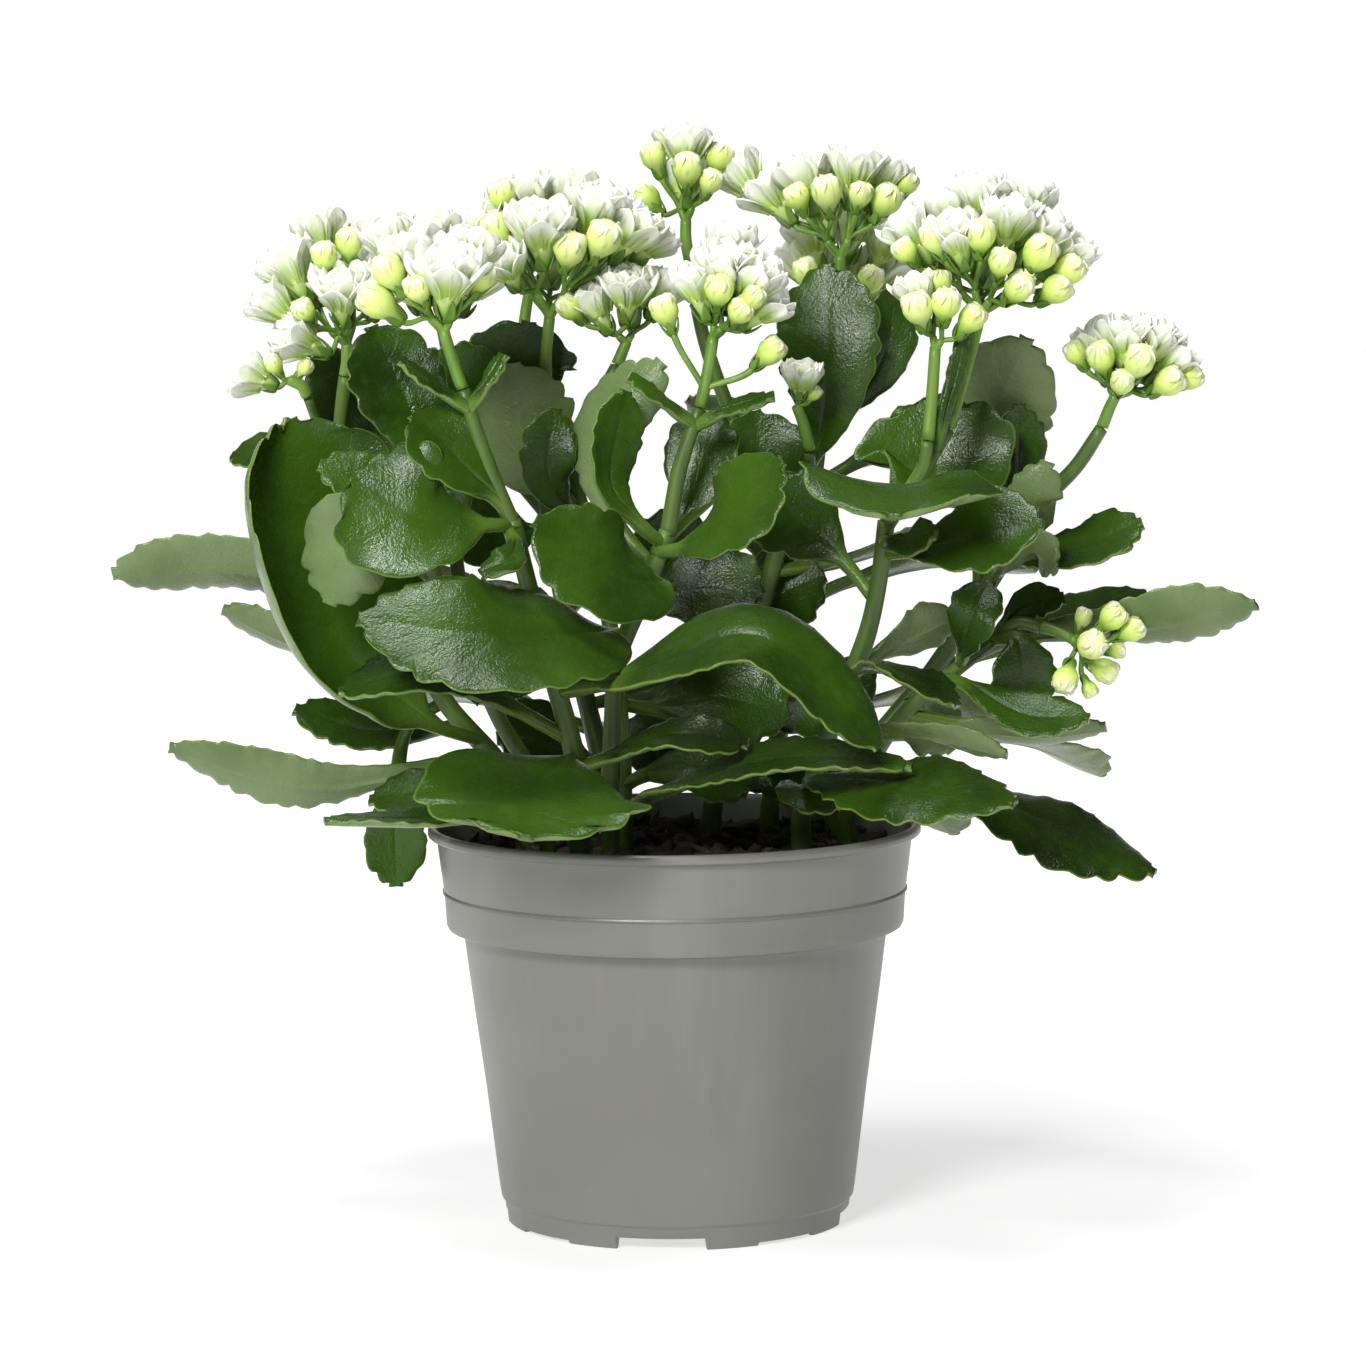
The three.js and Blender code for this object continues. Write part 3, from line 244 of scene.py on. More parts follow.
def tube(skin, line, radius, slot, rows=24, sides=12, first=0.0, last=1.0, **values):
    """A round bar along a line. radius gives its radius for the shares of the length."""
    shares = np.linspace(first, last, rows)
    centre = line.at(shares)
    along = line.along(shares)
    side = np.zeros_like(along)
    turning, _ = crossways(along[0])
    for i, direction in enumerate(along):
        turning = unit(turning - direction * np.dot(turning, direction))
        side[i] = turning
    other = np.cross(along, side)
    angle = np.linspace(0, 2 * math.pi, sides, endpoint=False)
    ring = np.cos(angle)[None, :, None] * side[:, None] + np.sin(angle)[None, :, None] * other[:, None]
    rings = centre[:, None] + radius(shares)[:, None, None] * ring
    cap = along[-1] * radius(shares)[-1] * 0.4
    skin.loft(rings, centre[0], centre[-1] + cap, slot, length=shares[:, None], **values)


def blade_width(share):
    """Half of the blade's width at a share of its length, as a share of the widest."""
    share = np.clip(share, 0, 1)
    return share**0.9 * (1 - share**2.6) ** 0.66 / 0.523


def leaf(line, half, face, tip_face=None, cup=0.18, lean=0, taper=1, petiole=0.16):
    """A leaf's line runs from the stem to its tip, and face is the way its upper side looks.

    cup bends its two sides towards face, and lean bends one side more than the other.
    A taper below 1 moves its widest place towards the stem.
    """
    tip_face = tip_face or face
    return dict(
        line=line, half=half, face=face, tip_face=tip_face, cup=cup, lean=lean, taper=taper, petiole=petiole
    )


def scallops(blade, blade_length, width, half, ring_v):
    """The round teeth of the margin: how far each point moves outwards, towards the tip, and up or down."""
    margin = np.concatenate([[0], np.cumsum(np.hypot(np.diff(blade * blade_length), np.diff(width)))])
    spacing = np.clip(2.8 + 0.28 * half, 3.2, 10)
    depth = min(2.6, 0.5 + 0.09 * half)
    teeth = max(3, round(margin[-1] / spacing))
    out_along = -np.gradient(width, margin)
    out_across = np.gradient(blade * blade_length, margin)
    fade = np.clip((blade - 0.12) / 0.25, 0, 1) ** 1.5
    reach = np.zeros((len(blade), len(ring_v)))
    push = np.zeros_like(reach)
    ripple = np.zeros_like(reach)
    for sign in (-1, 1):
        stretch = 1 + 0.3 * np.sin(2.3 * margin / spacing + between(0, 6))
        place = np.cumsum(np.gradient(margin) * stretch)
        place = (place - place[0]) / (place[-1] - place[0]) * (teeth - 0.5)
        lobe = np.sin(math.pi * (place % 1) ** 1.7) ** 0.6
        sticking = depth * fade * (lobe - 0.7) * (0.8 + 0.45 * np.sin(place * 1.7 + between(0, 6)))
        mine = np.sign(ring_v) == sign
        reach[:, mine] = (sticking * out_across)[:, None]
        push[:, mine] = (sticking * out_along)[:, None]
        ripple[:, mine] = (RIPPLE_HEIGHT * fade * np.cos(2 * math.pi * place))[:, None]
    edge = np.abs(ring_v)
    return reach * edge**1.5, push * edge**2, ripple


def add_leaf(skin, line, half, face, tip_face, cup, lean, taper, petiole):
    """One leaf: a round petiole that opens into a fleshy blade with a scalloped margin."""
    spine = Line([seen(*place) for place in line])
    blade_length = spine.length * (1 - petiole)
    row_count = int(np.clip(blade_length / LEAF_ROW_SPACING, FEWEST_LEAF_ROWS, MOST_LEAF_ROWS))
    blade = 1 - (1 - np.linspace(0.02, 0.995, row_count)) ** 1.7
    width = half * blade_width(blade**taper)

    # A row goes over the upper side and back under the lower side
    upper = np.array([-a for a in HALF_ACROSS[:0:-1]] + HALF_ACROSS)
    ring_v = np.concatenate([upper, upper[-2:0:-1]])
    level = np.concatenate([np.ones(len(upper)), -np.ones(len(upper) - 2)])
    edge = np.abs(ring_v)
    reach, push, ripple = scallops(blade, blade_length, width, half, ring_v)

    # The petiole's rows come before the blade's
    stalk_rows = max(4, int(spine.length * petiole / 2))
    stalk = np.linspace(0.0, petiole, stalk_rows, endpoint=False)
    pad = np.zeros((stalk_rows, len(ring_v)))
    reach, push, ripple = (np.vstack([pad, part]) for part in (reach, push, ripple))
    shares = np.concatenate([stalk, petiole + (1 - petiole) * blade])
    open_ = np.concatenate([np.zeros(stalk_rows), blade])
    half_width = np.maximum(PETIOLE_HALF_WIDTH, np.concatenate([np.zeros(stalk_rows), width]))
    flare = np.clip((shares - petiole * 0.6) / (petiole * 0.4 + 1e-6), 0, 1)
    half_width = half_width * (0.82 + 0.18 * flare)

    centre = spine.at(shares[:, None] + push / spine.length)
    along = spine.along(shares)
    look = unit(face) + (unit(tip_face) - unit(face)) * shares[:, None]
    side = unit(np.cross(along, look))
    up = unit(np.cross(side, along))

    thick = PETIOLE_THICKNESS + (BLADE_THICKNESS - PETIOLE_THICKNESS) * np.minimum(1, open_ * 3)
    fullness = 2 + 2 * np.clip(open_ * 4, 0, 1)[:, None]
    body = 0.5 * thick[:, None] * (1 - edge**fullness) ** 0.5 * level
    opening = np.clip(open_ * 5, 0, 1)[:, None]
    phase = between(0, 6)
    wave = between(0.06, 0.13) * edge**2 * np.sin(8 * open_[:, None] + phase + 1.5 * np.sign(ring_v))
    turn = 2 * (cup + lean * np.sign(ring_v)) * opening + 1e-4
    arc = half_width[:, None] / turn
    steep = turn * edge
    lift = arc * (1 - np.cos(steep)) + half_width[:, None] * wave * opening + ripple * edge**5 * opening
    rib = np.exp(-((ring_v / RIB_HALF_WIDTH) ** 2)) * (1 - open_[:, None]) * opening
    lift -= rib * np.where(level > 0, 0.55, 0.9)
    sideways = np.sign(ring_v) * (arc * np.sin(steep) + reach * np.cos(steep) - body * np.sin(steep))
    rise = lift + reach * np.sin(steep) + body * np.cos(steep)
    rings = centre + side[:, None] * sideways[..., None] + up[:, None] * rise[..., None]
    under = (level < 0).astype(float)
    ends = (spine.at(0.0), spine.at(1.0))
    skin.loft(rings, *ends, LEAF, across=edge, length=open_[:, None], under=under, tone=between(0, 1))


# Petals and sepals: the shares of their length that have a row of points, with the width of each row
PETAL_SHARE = np.array([0.0, 0.14, 0.32, 0.52, 0.7, 0.84, 0.93, 0.985])
PETAL_OUTLINE = np.array([0.52, 0.66, 0.84, 0.98, 1.0, 0.86, 0.6, 0.26])
SEPAL_OUTLINE = np.array([0.8, 1.0, 0.95, 0.8, 0.6, 0.4, 0.24, 0.1])
# A row's points from side to side over the upper side and back, and which side each is on
PETAL_V = np.array([-1, -0.55, 0, 0.55, 1, 0.55, 0, -0.55])
PETAL_LEVEL = np.array([1, 1, 1, 1, 1, -1, -1, -1])


def add_petal(
    skin, base, axis, outward, lean, curl, length, half, slot=PETAL, outline=PETAL_OUTLINE, hollow=0.35
):
    """A petal that leans out from the flower's axis by an angle, which grows by curl along its length."""
    side = np.cross(axis, outward)
    angle = lean + curl * (PETAL_SHARE - 0.3)
    heading = np.cos(angle)[:, None] * axis + np.sin(angle)[:, None] * outward
    steps = np.diff(np.concatenate([[0], PETAL_SHARE]))[:, None] * length * heading
    centre = base + np.cumsum(steps, axis=0)
    up = np.cross(side, heading)
    ragged = 1 + rng.uniform(-0.09, 0.09, (len(PETAL_SHARE), 2)) * PETAL_SHARE[:, None] ** 2
    spread = np.where(PETAL_V[None, :] < 0, ragged[:, :1], ragged[:, 1:])
    width = (half * outline)[:, None] * PETAL_V * spread
    fall = hollow * half * outline[:, None] * PETAL_V**2
    body = 0.17 * PETAL_LEVEL * np.sqrt(1 - PETAL_V**2)
    rings = centre[:, None] + side * width[..., None] + up[:, None] * (fall + body)[..., None]
    tip = centre[-1] + heading[-1] * length * between(0.02, 0.07)
    skin.loft(rings, base, tip, slot, length=PETAL_SHARE[:, None], tone=rng.random())


def add_bloom(skin, place, axis, radius, room):
    """A double flower: a green funnel with its sepals, and layers of petals, the inner ones upright."""
    radius = BLOOM_SIZE * radius
    foot = place - axis * min(1.9 * radius, room)
    mouth = foot + (place - foot) * 0.56
    side, other = crossways(axis)
    turn = between(0, 6)
    for number, (count, ring, lean, curl, length, half) in enumerate(PETAL_LAYERS):
        for i in range(count):
            angle = turn + 2.4 * number + 2 * math.pi * (i + between(-0.1, 0.1)) / count
            outward = math.cos(angle) * side + math.sin(angle) * other
            base = mouth + outward * ring * radius - axis * 0.12 * radius * (1 - ring)
            lean_now = math.radians(lean + between(-6, 6))
            long = radius * length * between(0.9, 1.08)
            wide = radius * half * between(0.9, 1.08)
            add_petal(skin, base, axis, outward, lean_now, curl + between(-0.2, 0.2), long, wide)
    funnel = Line([foot, (foot + mouth) / 2, mouth])

    def swelling(shares):
        return radius * (0.14 + 0.42 * np.clip(shares, 0, 1) ** 1.15)

    tube(skin, funnel, swelling, FUNNEL, rows=8, sides=12, tone=rng.random())
    add_sepals(skin, foot, axis, 0.16 * radius, 0.95 * radius, 0.24 * radius)
    return foot


def add_sepals(skin, base, axis, ring, length, half):
    """Four narrow green sepals up the foot of a flower or bud."""
    side, other = crossways(axis)
    turn = between(0, 6)
    for i in range(4):
        angle = turn + math.pi / 2 * i
        outward = math.cos(angle) * side + math.sin(angle) * other
        lean = between(0.42, 0.62)
        add_petal(skin, base + outward * ring, axis, outward, lean, -0.35, length, half, STALK, SEPAL_OUTLINE)


# A bud's rings of points, and how wide each is
BUD_SHARE = np.array([0.0, 0.08, 0.18, 0.29, 0.4, 0.51, 0.62, 0.72, 0.81, 0.88, 0.94, 0.985])
BUD_OUTLINE = np.array([0.15, 0.2, 0.32, 0.53, 0.76, 0.93, 1.0, 0.98, 0.89, 0.76, 0.58, 0.34])


def add_bud(skin, place, axis, radius, room):
    """A bud: a green funnel that swells to petals wound round each other, with a ragged tip."""
    side, other = crossways(axis)
    length = between(2.75, 3.1) * radius
    foot = place - axis * min(0.58 * length, room)
    share = BUD_SHARE[:, None]
    angle = np.linspace(0, 2 * math.pi, 24, endpoint=False)
    twist = angle[None, :] + 0.9 * share + between(0, 6)
    ridge = (2.5 * twist / math.pi) % 1
    wrapped = np.clip((share - 0.3) / 0.3, 0, 1)
    seam = wrapped * (0.09 * ridge**2 - 0.045)
    reach = radius * BUD_OUTLINE[:, None] * (1 + seam)
    ring = np.cos(angle)[None, :, None] * side + np.sin(angle)[None, :, None] * other
    centre = foot + axis * length * share
    rings = centre[:, None] + reach[..., None] * ring
    cleft = wrapped * np.exp(-((np.minimum(ridge, 1 - ridge) / 0.09) ** 2))
    skin.loft(rings, foot, foot + axis * length, BUD, length=share, across=cleft, tone=rng.random())
    for i in range(5):
        turned = 1.26 * i + between(-0.2, 0.2)
        outward = math.cos(turned) * side + math.sin(turned) * other
        base = foot + axis * length * 0.66 + outward * radius * 0.78
        long = between(0.3, 0.38) * length
        add_petal(skin, base, axis, outward, -0.12, -1.1, long, 0.46 * radius, BUD_TIP, hollow=0.45)
    add_sepals(skin, foot, axis, 0.14 * radius, 1.25 * radius, 0.3 * radius)
    return foot


def bend_between(start, leaving, end, arriving):
    """A stalk's line from one place to another, with the way it leaves and the way it arrives."""
    far = np.linalg.norm(end - start)
    a = start + leaving * far * 0.35
    b = end - arriving * far * 0.35
    t = np.linspace(0, 1, 9)[:, None]
    return Line((1 - t) ** 3 * start + 3 * (1 - t) ** 2 * t * a + 3 * (1 - t) * t**2 * b + t**3 * end)


def flared(thick):
    """A stalk's radius at shares of its length, with a swelling under its flower."""
    return lambda shares: thick + STALK_FLARE * shares**4


def flower_axis(place, start):
    """The way a flower looks: away from where its stalk starts, and upwards."""
    return unit(unit(place - start) + np.array([0, 0, UPWARD_TURN]))


def head_spots(centre, core, behind, blooms, buds):
    """The place of each flower and bud of a head, with its radius and whether it is open."""
    spots = [(seen(x, z, centre[2] + depth), radius, True) for x, z, depth, radius in blooms]
    for i in range(behind):
        angle = math.pi * (i + 0.5) / behind
        wide = core * between(0.95, 1.15)
        away = [wide * math.cos(angle), wide * math.sin(angle), core * between(-0.1, 0.45)]
        spots.append((seen(*centre) + away, between(4.8, 5.8), True))
    spots += [(seen(x, z, centre[2] + depth), radius, False) for x, z, depth, radius in buds]
    return spots


def neighbours(feet, fork, stem_way):
    """The feet of a head's flowers in groups of about three that are side by side round the stem."""
    side, other = crossways(stem_way)

    def bearing(foot):
        away = foot[0] - fork
        return math.atan2(np.dot(away, other), np.dot(away, side))

    feet = sorted(feet, key=bearing)
    count = max(1, round(len(feet) / 3))
    return [feet[i * len(feet) // count : (i + 1) * len(feet) // count] for i in range(count)]


def add_side_bud(skin, start, place, radius):
    """A bud on its own stalk, low on the head's stem."""
    axis = flower_axis(place, start)
    foot = add_bud(skin, place, axis, radius, 0.75 * np.linalg.norm(place - start))
    stalk = bend_between(start, unit(place - start), foot + axis * 0.3, axis)
    tube(skin, stalk, flared(SIDE_STALK_RADIUS), STALK, rows=10, sides=8, tone=rng.random())


def add_head(skin, stem, centre, core, behind, blooms, buds, side_buds=()):
    """A flower head, whose stem forks into side stalks, and these into the stalks of flowers and buds."""
    line = Line([seen(*place) for place in stem])
    fork = line.at(1.0)
    stem_way = line.along(1.0)
    tube(skin, line, lambda s: HEAD_STEM_RADIUS * (1.02 - 0.12 * s), STALK, rows=10, tone=rng.random())
    spots = head_spots(centre, core, behind, blooms, buds)
    for x, z, depth, radius in side_buds:
        add_side_bud(skin, line.at(0.25), seen(x, z, depth), radius)

    feet = []
    for place, radius, opened in spots:
        axis = flower_axis(place, fork)
        add = add_bloom if opened else add_bud
        room = 0.75 * np.linalg.norm(place - fork)
        feet.append((add(skin, place, axis, radius, room), axis))

    for group in neighbours(feet, fork, stem_way):
        reach = np.mean([foot for foot, _ in group], axis=0) - fork
        joint = fork - stem_way * 1.0
        way = stem_way
        if len(group) > 1:
            way = unit(unit(reach) + 0.6 * stem_way)
            branch = bend_between(joint, stem_way, fork + reach * 0.42, way)
            joint = fork + reach * 0.42
            tube(skin, branch, lambda s: BRANCH_RADIUS - 0.25 * s, STALK, rows=8, sides=10, tone=rng.random())
        for foot, axis in group:
            stalk = bend_between(joint - way * 0.4, way, foot + axis * 0.3, axis)
            tube(skin, stalk, flared(FLOWER_STALK_RADIUS), STALK, rows=8, sides=8, tone=rng.random())


def add_leafy_stem(skin, radius, line, branches, leaves):
    """A stem from its hole in the soil to its top, with its side branches and its leaves."""
    above = [seen(*place) for place in line]
    foot = [np.array([above[0][0], above[0][1], height]) for height in (HOLE_BOTTOM + GAP, SOIL_HEIGHT)]
    top = max([HEAD_STEM_RADIUS, *(width for width, _ in branches)])
    add_stem(skin, Line([*foot, *above], ease=0.5), radius, top)
    for width, places in branches:
        branch = Line([seen(*place) for place in places], ease=0.5)
        add_stem(skin, branch, width, min(width, HEAD_STEM_RADIUS))
    for blade in leaves:
        add_leaf(skin, **blade)


def add_stem(skin, line, thick, thin):
    """A stem that tapers, with a slight swelling at each joint."""

    def radius(shares):
        joints = 1 + 0.05 * np.sin(0.1 * line.length * shares) ** 8
        return (thick * 1.05 + (thin - thick) * shares) * joints

    tube(skin, line, radius, STEM, rows=max(12, int(line.length / 2)), sides=16, tone=rng.random())


# Each stem and branch is a list of places, and each leaf a line with its half width and the way it looks.
# A place is (x, z, depth) as seen from the front.
LEAFY_STEMS = {
    "leafy_stem_front_left": dict(
        radius=2.7,
        line=[(-23, 98, -29), (-24, 113, -31), (-28.5, 131, -35), (-34, 152, -38), (-38.5, 171, -40)],
        branches=[
            (1.9, [(-38, 169, -40), (-44, 184, -41), (-50, 202.5, -42)]),
        ],
        leaves=[
            leaf([(-24, 112, -31), (-26, 112, -42), (-33, 106, -62), (-36, 93.5, -84)],
                27, (0.12, -0.25, 1), cup=0.05),
            leaf([(-26, 118, -32), (-42, 127, -38), (-60, 134, -46), (-81, 129.5, -46)],
                11, (0, -0.6, 1), lean=-0.1),
            leaf([(-27, 129, -35), (-13, 132, -52), (21, 142, -62), (50, 115, -67)],
                17, (0, -0.5, 1), tip_face=(0.45, -0.8, 0.7), cup=0.05, lean=0.3, taper=0.8),
            leaf([(-39, 170, -40), (-45, 170, -45), (-60, 171, -50), (-77, 182, -48)],
                17, (-0.1, -0.9, 0.45), cup=0.05),
            leaf([(-39, 171, -40), (-42, 176, -41), (-50, 184, -44), (-62, 197, -42)],
                9.5, (0.3, -0.8, 0.4)),
            leaf([(-39, 168, -41), (-38, 165, -46), (-40, 161, -52), (-46, 158, -54)],
                4.5, (0.2, -0.5, 0.9)),
            leaf([(-48.5, 198, -42), (-53, 201, -44), (-59, 205, -46), (-65, 210, -46)],
                3, (0.2, -0.5, 0.8)),
            leaf([(-48.5, 198, -42), (-46, 201.5, -43), (-43, 206, -43), (-40, 211, -42)],
                2.4, (-0.2, -0.5, 0.8)),
            leaf([(-24, 110, -31), (-16, 113, -38), (0, 118, -45), (18, 116, -46)], 8, (0, -0.5, 1)),
        ],
    ),
    "leafy_stem_front_middle": dict(
        radius=2.2,
        line=[
            (-15.5, 98, -16), (-15, 117, -18), (-13, 138, -20), (-8, 150, -21), (-4, 160, -22),
            (-1, 168, -22),
        ],
        branches=[
            (1.9, [(-1, 167, -22), (2, 183, -22), (7, 197.5, -22)]),
        ],
        leaves=[
            leaf([(-12, 143, -20), (-20, 143, -44), (-44, 143, -62), (-76, 147.5, -62)],
                18, (0, -0.8, 0.6), cup=0.03, lean=-0.12, taper=0.6),
            leaf([(-5, 156, -21), (-3, 155, -32), (-14, 158, -43), (-33, 171, -45)],
                14, (0.15, -0.85, 0.6), cup=0.05, taper=0.7),
            leaf([(-4, 163, -22), (3, 164, -30), (13, 170, -40), (27, 185, -44)],
                12, (-0.35, -0.75, 0.75), cup=0.1),
            leaf([(-1, 166, -21), (4, 173, -14), (7, 184, -11), (10, 197, -8)], 9.5, (-0.2, -0.9, 0.3)),
            leaf([(-2, 165, -22), (-8, 170, -26), (-15, 181, -26), (-11, 202, -20)],
                7, (0.5, -0.75, 0.3), cup=0.25),
            leaf([(-5, 160, -21), (-14, 172, -15), (-17, 192, -12), (-2, 209, -13)],
                9, (0.3, 0.8, -0.2), cup=0.2),
            leaf([(6, 193.5, -22), (2, 196.5, -24), (-4, 201, -26), (-10, 205.5, -27)],
                2.8, (0.2, -0.6, 0.8)),
            leaf([(6, 193.5, -22), (12, 196.5, -24), (18, 198.5, -26), (25, 200.5, -27)],
                3, (-0.2, -0.6, 0.8)),
        ],
    ),
    "leafy_stem_middle": dict(
        radius=2,
        line=[(-12, 98, -3), (-13, 126, -3), (-16, 150, 2), (-22, 175, 5), (-27, 192, 7), (-30, 204, 8)],
        branches=[
            (1.6, [(-24, 182, 6), (-20, 195, 8), (-13, 208, 9)]),
        ],
        leaves=[
            leaf([(-12, 100, -3), (-2, 105, -34), (28, 112, -54), (58, 110, -60)], 10, (0, -0.35, 1)),
            leaf([(-23, 175, 5), (-30, 180, 2), (-35, 188, -1), (-38, 209, -1)],
                13.5, (0.1, 0.95, -0.1), cup=0.2, taper=0.8),
            leaf([(-22, 172, 5), (-27, 176, -5), (-30, 184, -10), (-28, 198, -9)], 7, (0.1, -0.95, 0.2)),
            leaf([(-27, 190, 7), (-32, 196, 12), (-36, 206, 16), (-34, 219, 16)], 14, (0, -1, 0.2)),
            leaf([(-26, 188, 7), (-34, 193, 12), (-45, 201, 12), (-55, 213, 10)], 9, (0, -1, 0.3)),
            leaf([(-16, 150, 2), (-6, 152, 2), (8, 154, 0), (22, 152, -4)], 12, (0, -0.85, 0.5)),
            leaf([(-14, 135, -2), (-24, 140, 2), (-40, 146, 2), (-54, 140, 0)], 12, (0, -0.8, 0.5)),
            leaf([(-13, 126, -2), (-4, 125, 1), (12, 127, 0), (28, 122, -2)], 12, (0, -0.8, 0.6)),
            leaf([(-12, 106, -3), (-6, 109, -8), (6, 110, -12), (18, 104, -14)], 8, (0, -0.8, 0.6)),
        ],
    ),
    "leafy_stem_left": dict(
        radius=2.8,
        line=[(-36, 98, 6), (-43, 112, 6), (-56, 128, 6), (-66, 150, 8), (-74, 172, 10), (-80, 188, 9)],
        branches=[
            (1.5, [(-80, 187, 9), (-80, 194, 8), (-78.5, 206, 5)]),
            (1.1, [(-80, 187, 9), (-84, 192, 6), (-87.5, 201, 0)]),
        ],
        leaves=[
            leaf([(-46, 117, 6), (-62, 124, -6), (-83, 146, -14), (-92, 196, -8)],
                31, (0.4, -0.9, 0.25), cup=0.5, lean=-0.25),
            leaf([(-60, 138, 7), (-74, 150, 16), (-104, 160, 22), (-135.5, 159, 25)], 11, (0.1, 0.75, 0.7)),
            leaf([(-57, 130, 7), (-70, 136, 18), (-92, 142, 24), (-109, 150, 26)], 9, (0.2, 0.6, 0.75)),
            leaf([(-43, 111, 6), (-56, 112, 4), (-88, 107, 0), (-122.5, 116.5, 0)],
                9, (0, 0.75, 0.7), cup=0.05),
            leaf([(-50, 122, 6), (-60, 120, 18), (-76, 120, 24), (-92, 125.5, 26)], 8, (0, -0.7, 0.8)),
            leaf([(-56, 127, 7), (-65, 120, 9), (-68, 101, 11), (-68, 82, 12)],
                8, (0.2, -0.9, 0.2), petiole=0.4),
            leaf([(-78, 184, 9), (-86, 187, 14), (-94, 188, 20), (-106, 187, 24)], 9, (0.2, -0.5, 0.9)),
        ],
    ),
    "leafy_stem_low_left": dict(
        radius=2.1,
        line=[
            (-31, 98, -16), (-35, 110, -17), (-42, 122, -17), (-49, 140, -18), (-52, 160, -20),
            (-54, 178, -20),
        ],
        branches=[],
        leaves=[
            leaf([(-32, 100, -16), (-40, 101, -30), (-58, 98, -46), (-85, 98, -50)],
                8, (0, -0.1, 1), cup=0.15),
            leaf([(-35, 109, -17), (-44, 107, -22), (-58, 105, -26), (-74, 103, -24)], 8, (0, -0.5, 0.8)),
            leaf([(-53, 164, -20), (-53, 176, 2), (-68, 192, 24), (-86, 211, 28)], 14, (0.3, -0.9, 0.1)),
            leaf([(-54, 174, -20), (-58, 185, -16), (-64, 200, -14), (-72, 218, -10)],
                12, (0.2, -0.9, 0.3)),
            leaf([(-51, 152, -19), (-61, 160, -32), (-76, 168, -38), (-83, 151, -38)],
                12, (0.4, 0.7, 0.5), cup=0.2),
            leaf([(-54, 176, -20), (-62, 178, -28), (-72, 180, -32), (-85, 185, -32)], 8, (0, -0.75, 0.7)),
        ],
    ),
    "leafy_stem_right": dict(
        radius=2.5,
        line=[
            (31, 98, -12), (34, 107, -13), (40, 125, -15), (47, 142, -18), (50, 155, -20),
            (52, 170, -22),
        ],
        branches=[
            (1.9, [(52, 169, -22), (60, 181, -18), (67, 192, -14)]),
            (1.4, [(58, 178, -19), (61, 183, -20), (62, 189, -20.5)]),
        ],
        leaves=[
            leaf([(52, 170, -22), (54, 176, -30), (56, 178, -44), (54, 171, -62)],
                24, (0, -0.3, 1), cup=0.16),
            leaf([(51, 162, -20), (58, 163, -28), (72, 166, -38), (90, 169, -44)], 12, (-0.1, -0.8, 0.7)),
            leaf([(53, 172, -20), (58, 176, -10), (64, 181, 0), (62, 199, 6)],
                20, (-0.1, -0.85, 0.6), cup=0.2),
            leaf([(51, 165, -21), (53, 165, -27), (57, 165, -34), (64, 167, -40)], 5.5, (0, -0.8, 0.6)),
            leaf([(49, 151, -19), (42, 160, -15), (33, 168, -12), (22, 179, -11)],
                12, (-0.1, -0.85, 0.5), petiole=0.3),
            leaf([(43, 133, -16), (48, 135, -28), (57, 132, -40), (69, 125, -46)], 9, (0.2, -0.15, 1)),
            leaf([(39, 122, -15), (48, 119, -26), (62, 118, -38), (81, 113, -44)], 7, (0, 0.5, 0.9)),
            leaf([(33, 105, -13), (35, 107, -34), (54, 106, -58), (83, 101, -72)],
                14, (0, -0.42, 0.9), cup=-0.05),
            leaf([(32, 101, -12), (30, 105, -24), (33, 104, -34), (41, 101, -36)], 7, (0.1, -0.8, 0.6)),
            leaf([(44, 135, -16), (50, 138, -10), (58, 142, -5), (69, 147, -4)], 7.5, (0, 0.75, 0.6)),
            leaf([(64, 187, -15.7), (66, 196, -19), (69, 206, -18.5), (71, 216, -18)],
                2.4, (0.2, -0.9, 0.2)),
        ],
    ),
    "leafy_stem_low_right": dict(
        radius=2.4,
        line=[(42, 98, 4), (46, 108, 3), (52, 118, 2), (60, 127, 0), (69, 134, -3), (78, 141, -6)],
        branches=[
            (1.5, [(78, 141, -6), (84, 145, -8), (89, 144, -9)]),
        ],
        leaves=[
            leaf([(78, 141, -6), (83, 141, -10), (85, 134, -11), (86, 125, -9)], 9, (0, -0.95, 0.3)),
            leaf([(70, 135, -3), (71, 140, -12), (73, 147, -16), (77, 155, -12)], 6.5, (-0.2, -0.9, 0.4)),
            leaf([(66, 132, -2), (73, 129, -12), (86, 122, -20), (101, 121.5, -24)], 8, (0, -0.6, 0.85)),
            leaf([(56, 123, 1), (72, 120, 4), (90, 118, 4), (105, 119.5, 2)], 7, (0, 0.6, 0.8)),
            leaf([(46, 107, 3), (60, 108, -10), (86, 98, -24), (117, 83.5, -30)],
                14, (0.35, -0.45, 1), cup=-0.1),
            leaf([(72, 137, -4), (86, 142, 2), (112, 144, -10), (141.5, 149, -20)], 10, (0, 0.7, 0.7)),
            leaf([(62, 128, -1), (60, 128, 8), (62, 122, 12), (68, 114, 12)], 8, (0, 0.8, -0.4)),
            leaf([(78, 141, -6), (83, 147, -2), (88, 150, 0), (95, 151, 0)], 5, (0, -0.8, 0.6)),
        ],
    ),
    "leafy_stem_back_right": dict(
        radius=2.4,
        line=[
            (39, 98, 24), (41, 105, 24), (50, 118, 24), (64, 135, 22), (77, 155, 16),
            (85, 168, 10), (92, 177, 6),
        ],
        branches=[
            (1.9, [(91, 176, 6), (98, 183, 3), (104, 192, 1)]),
        ],
        leaves=[
            leaf([(80, 160, 14), (87, 161, 2), (100, 163, -6), (114, 169, -8)], 9.5, (-0.1, -0.6, 0.8)),
            leaf([(82, 164, 12), (87, 170, -2), (88, 176, -14), (91, 184, -16)], 7, (0, 0.9, -0.3)),
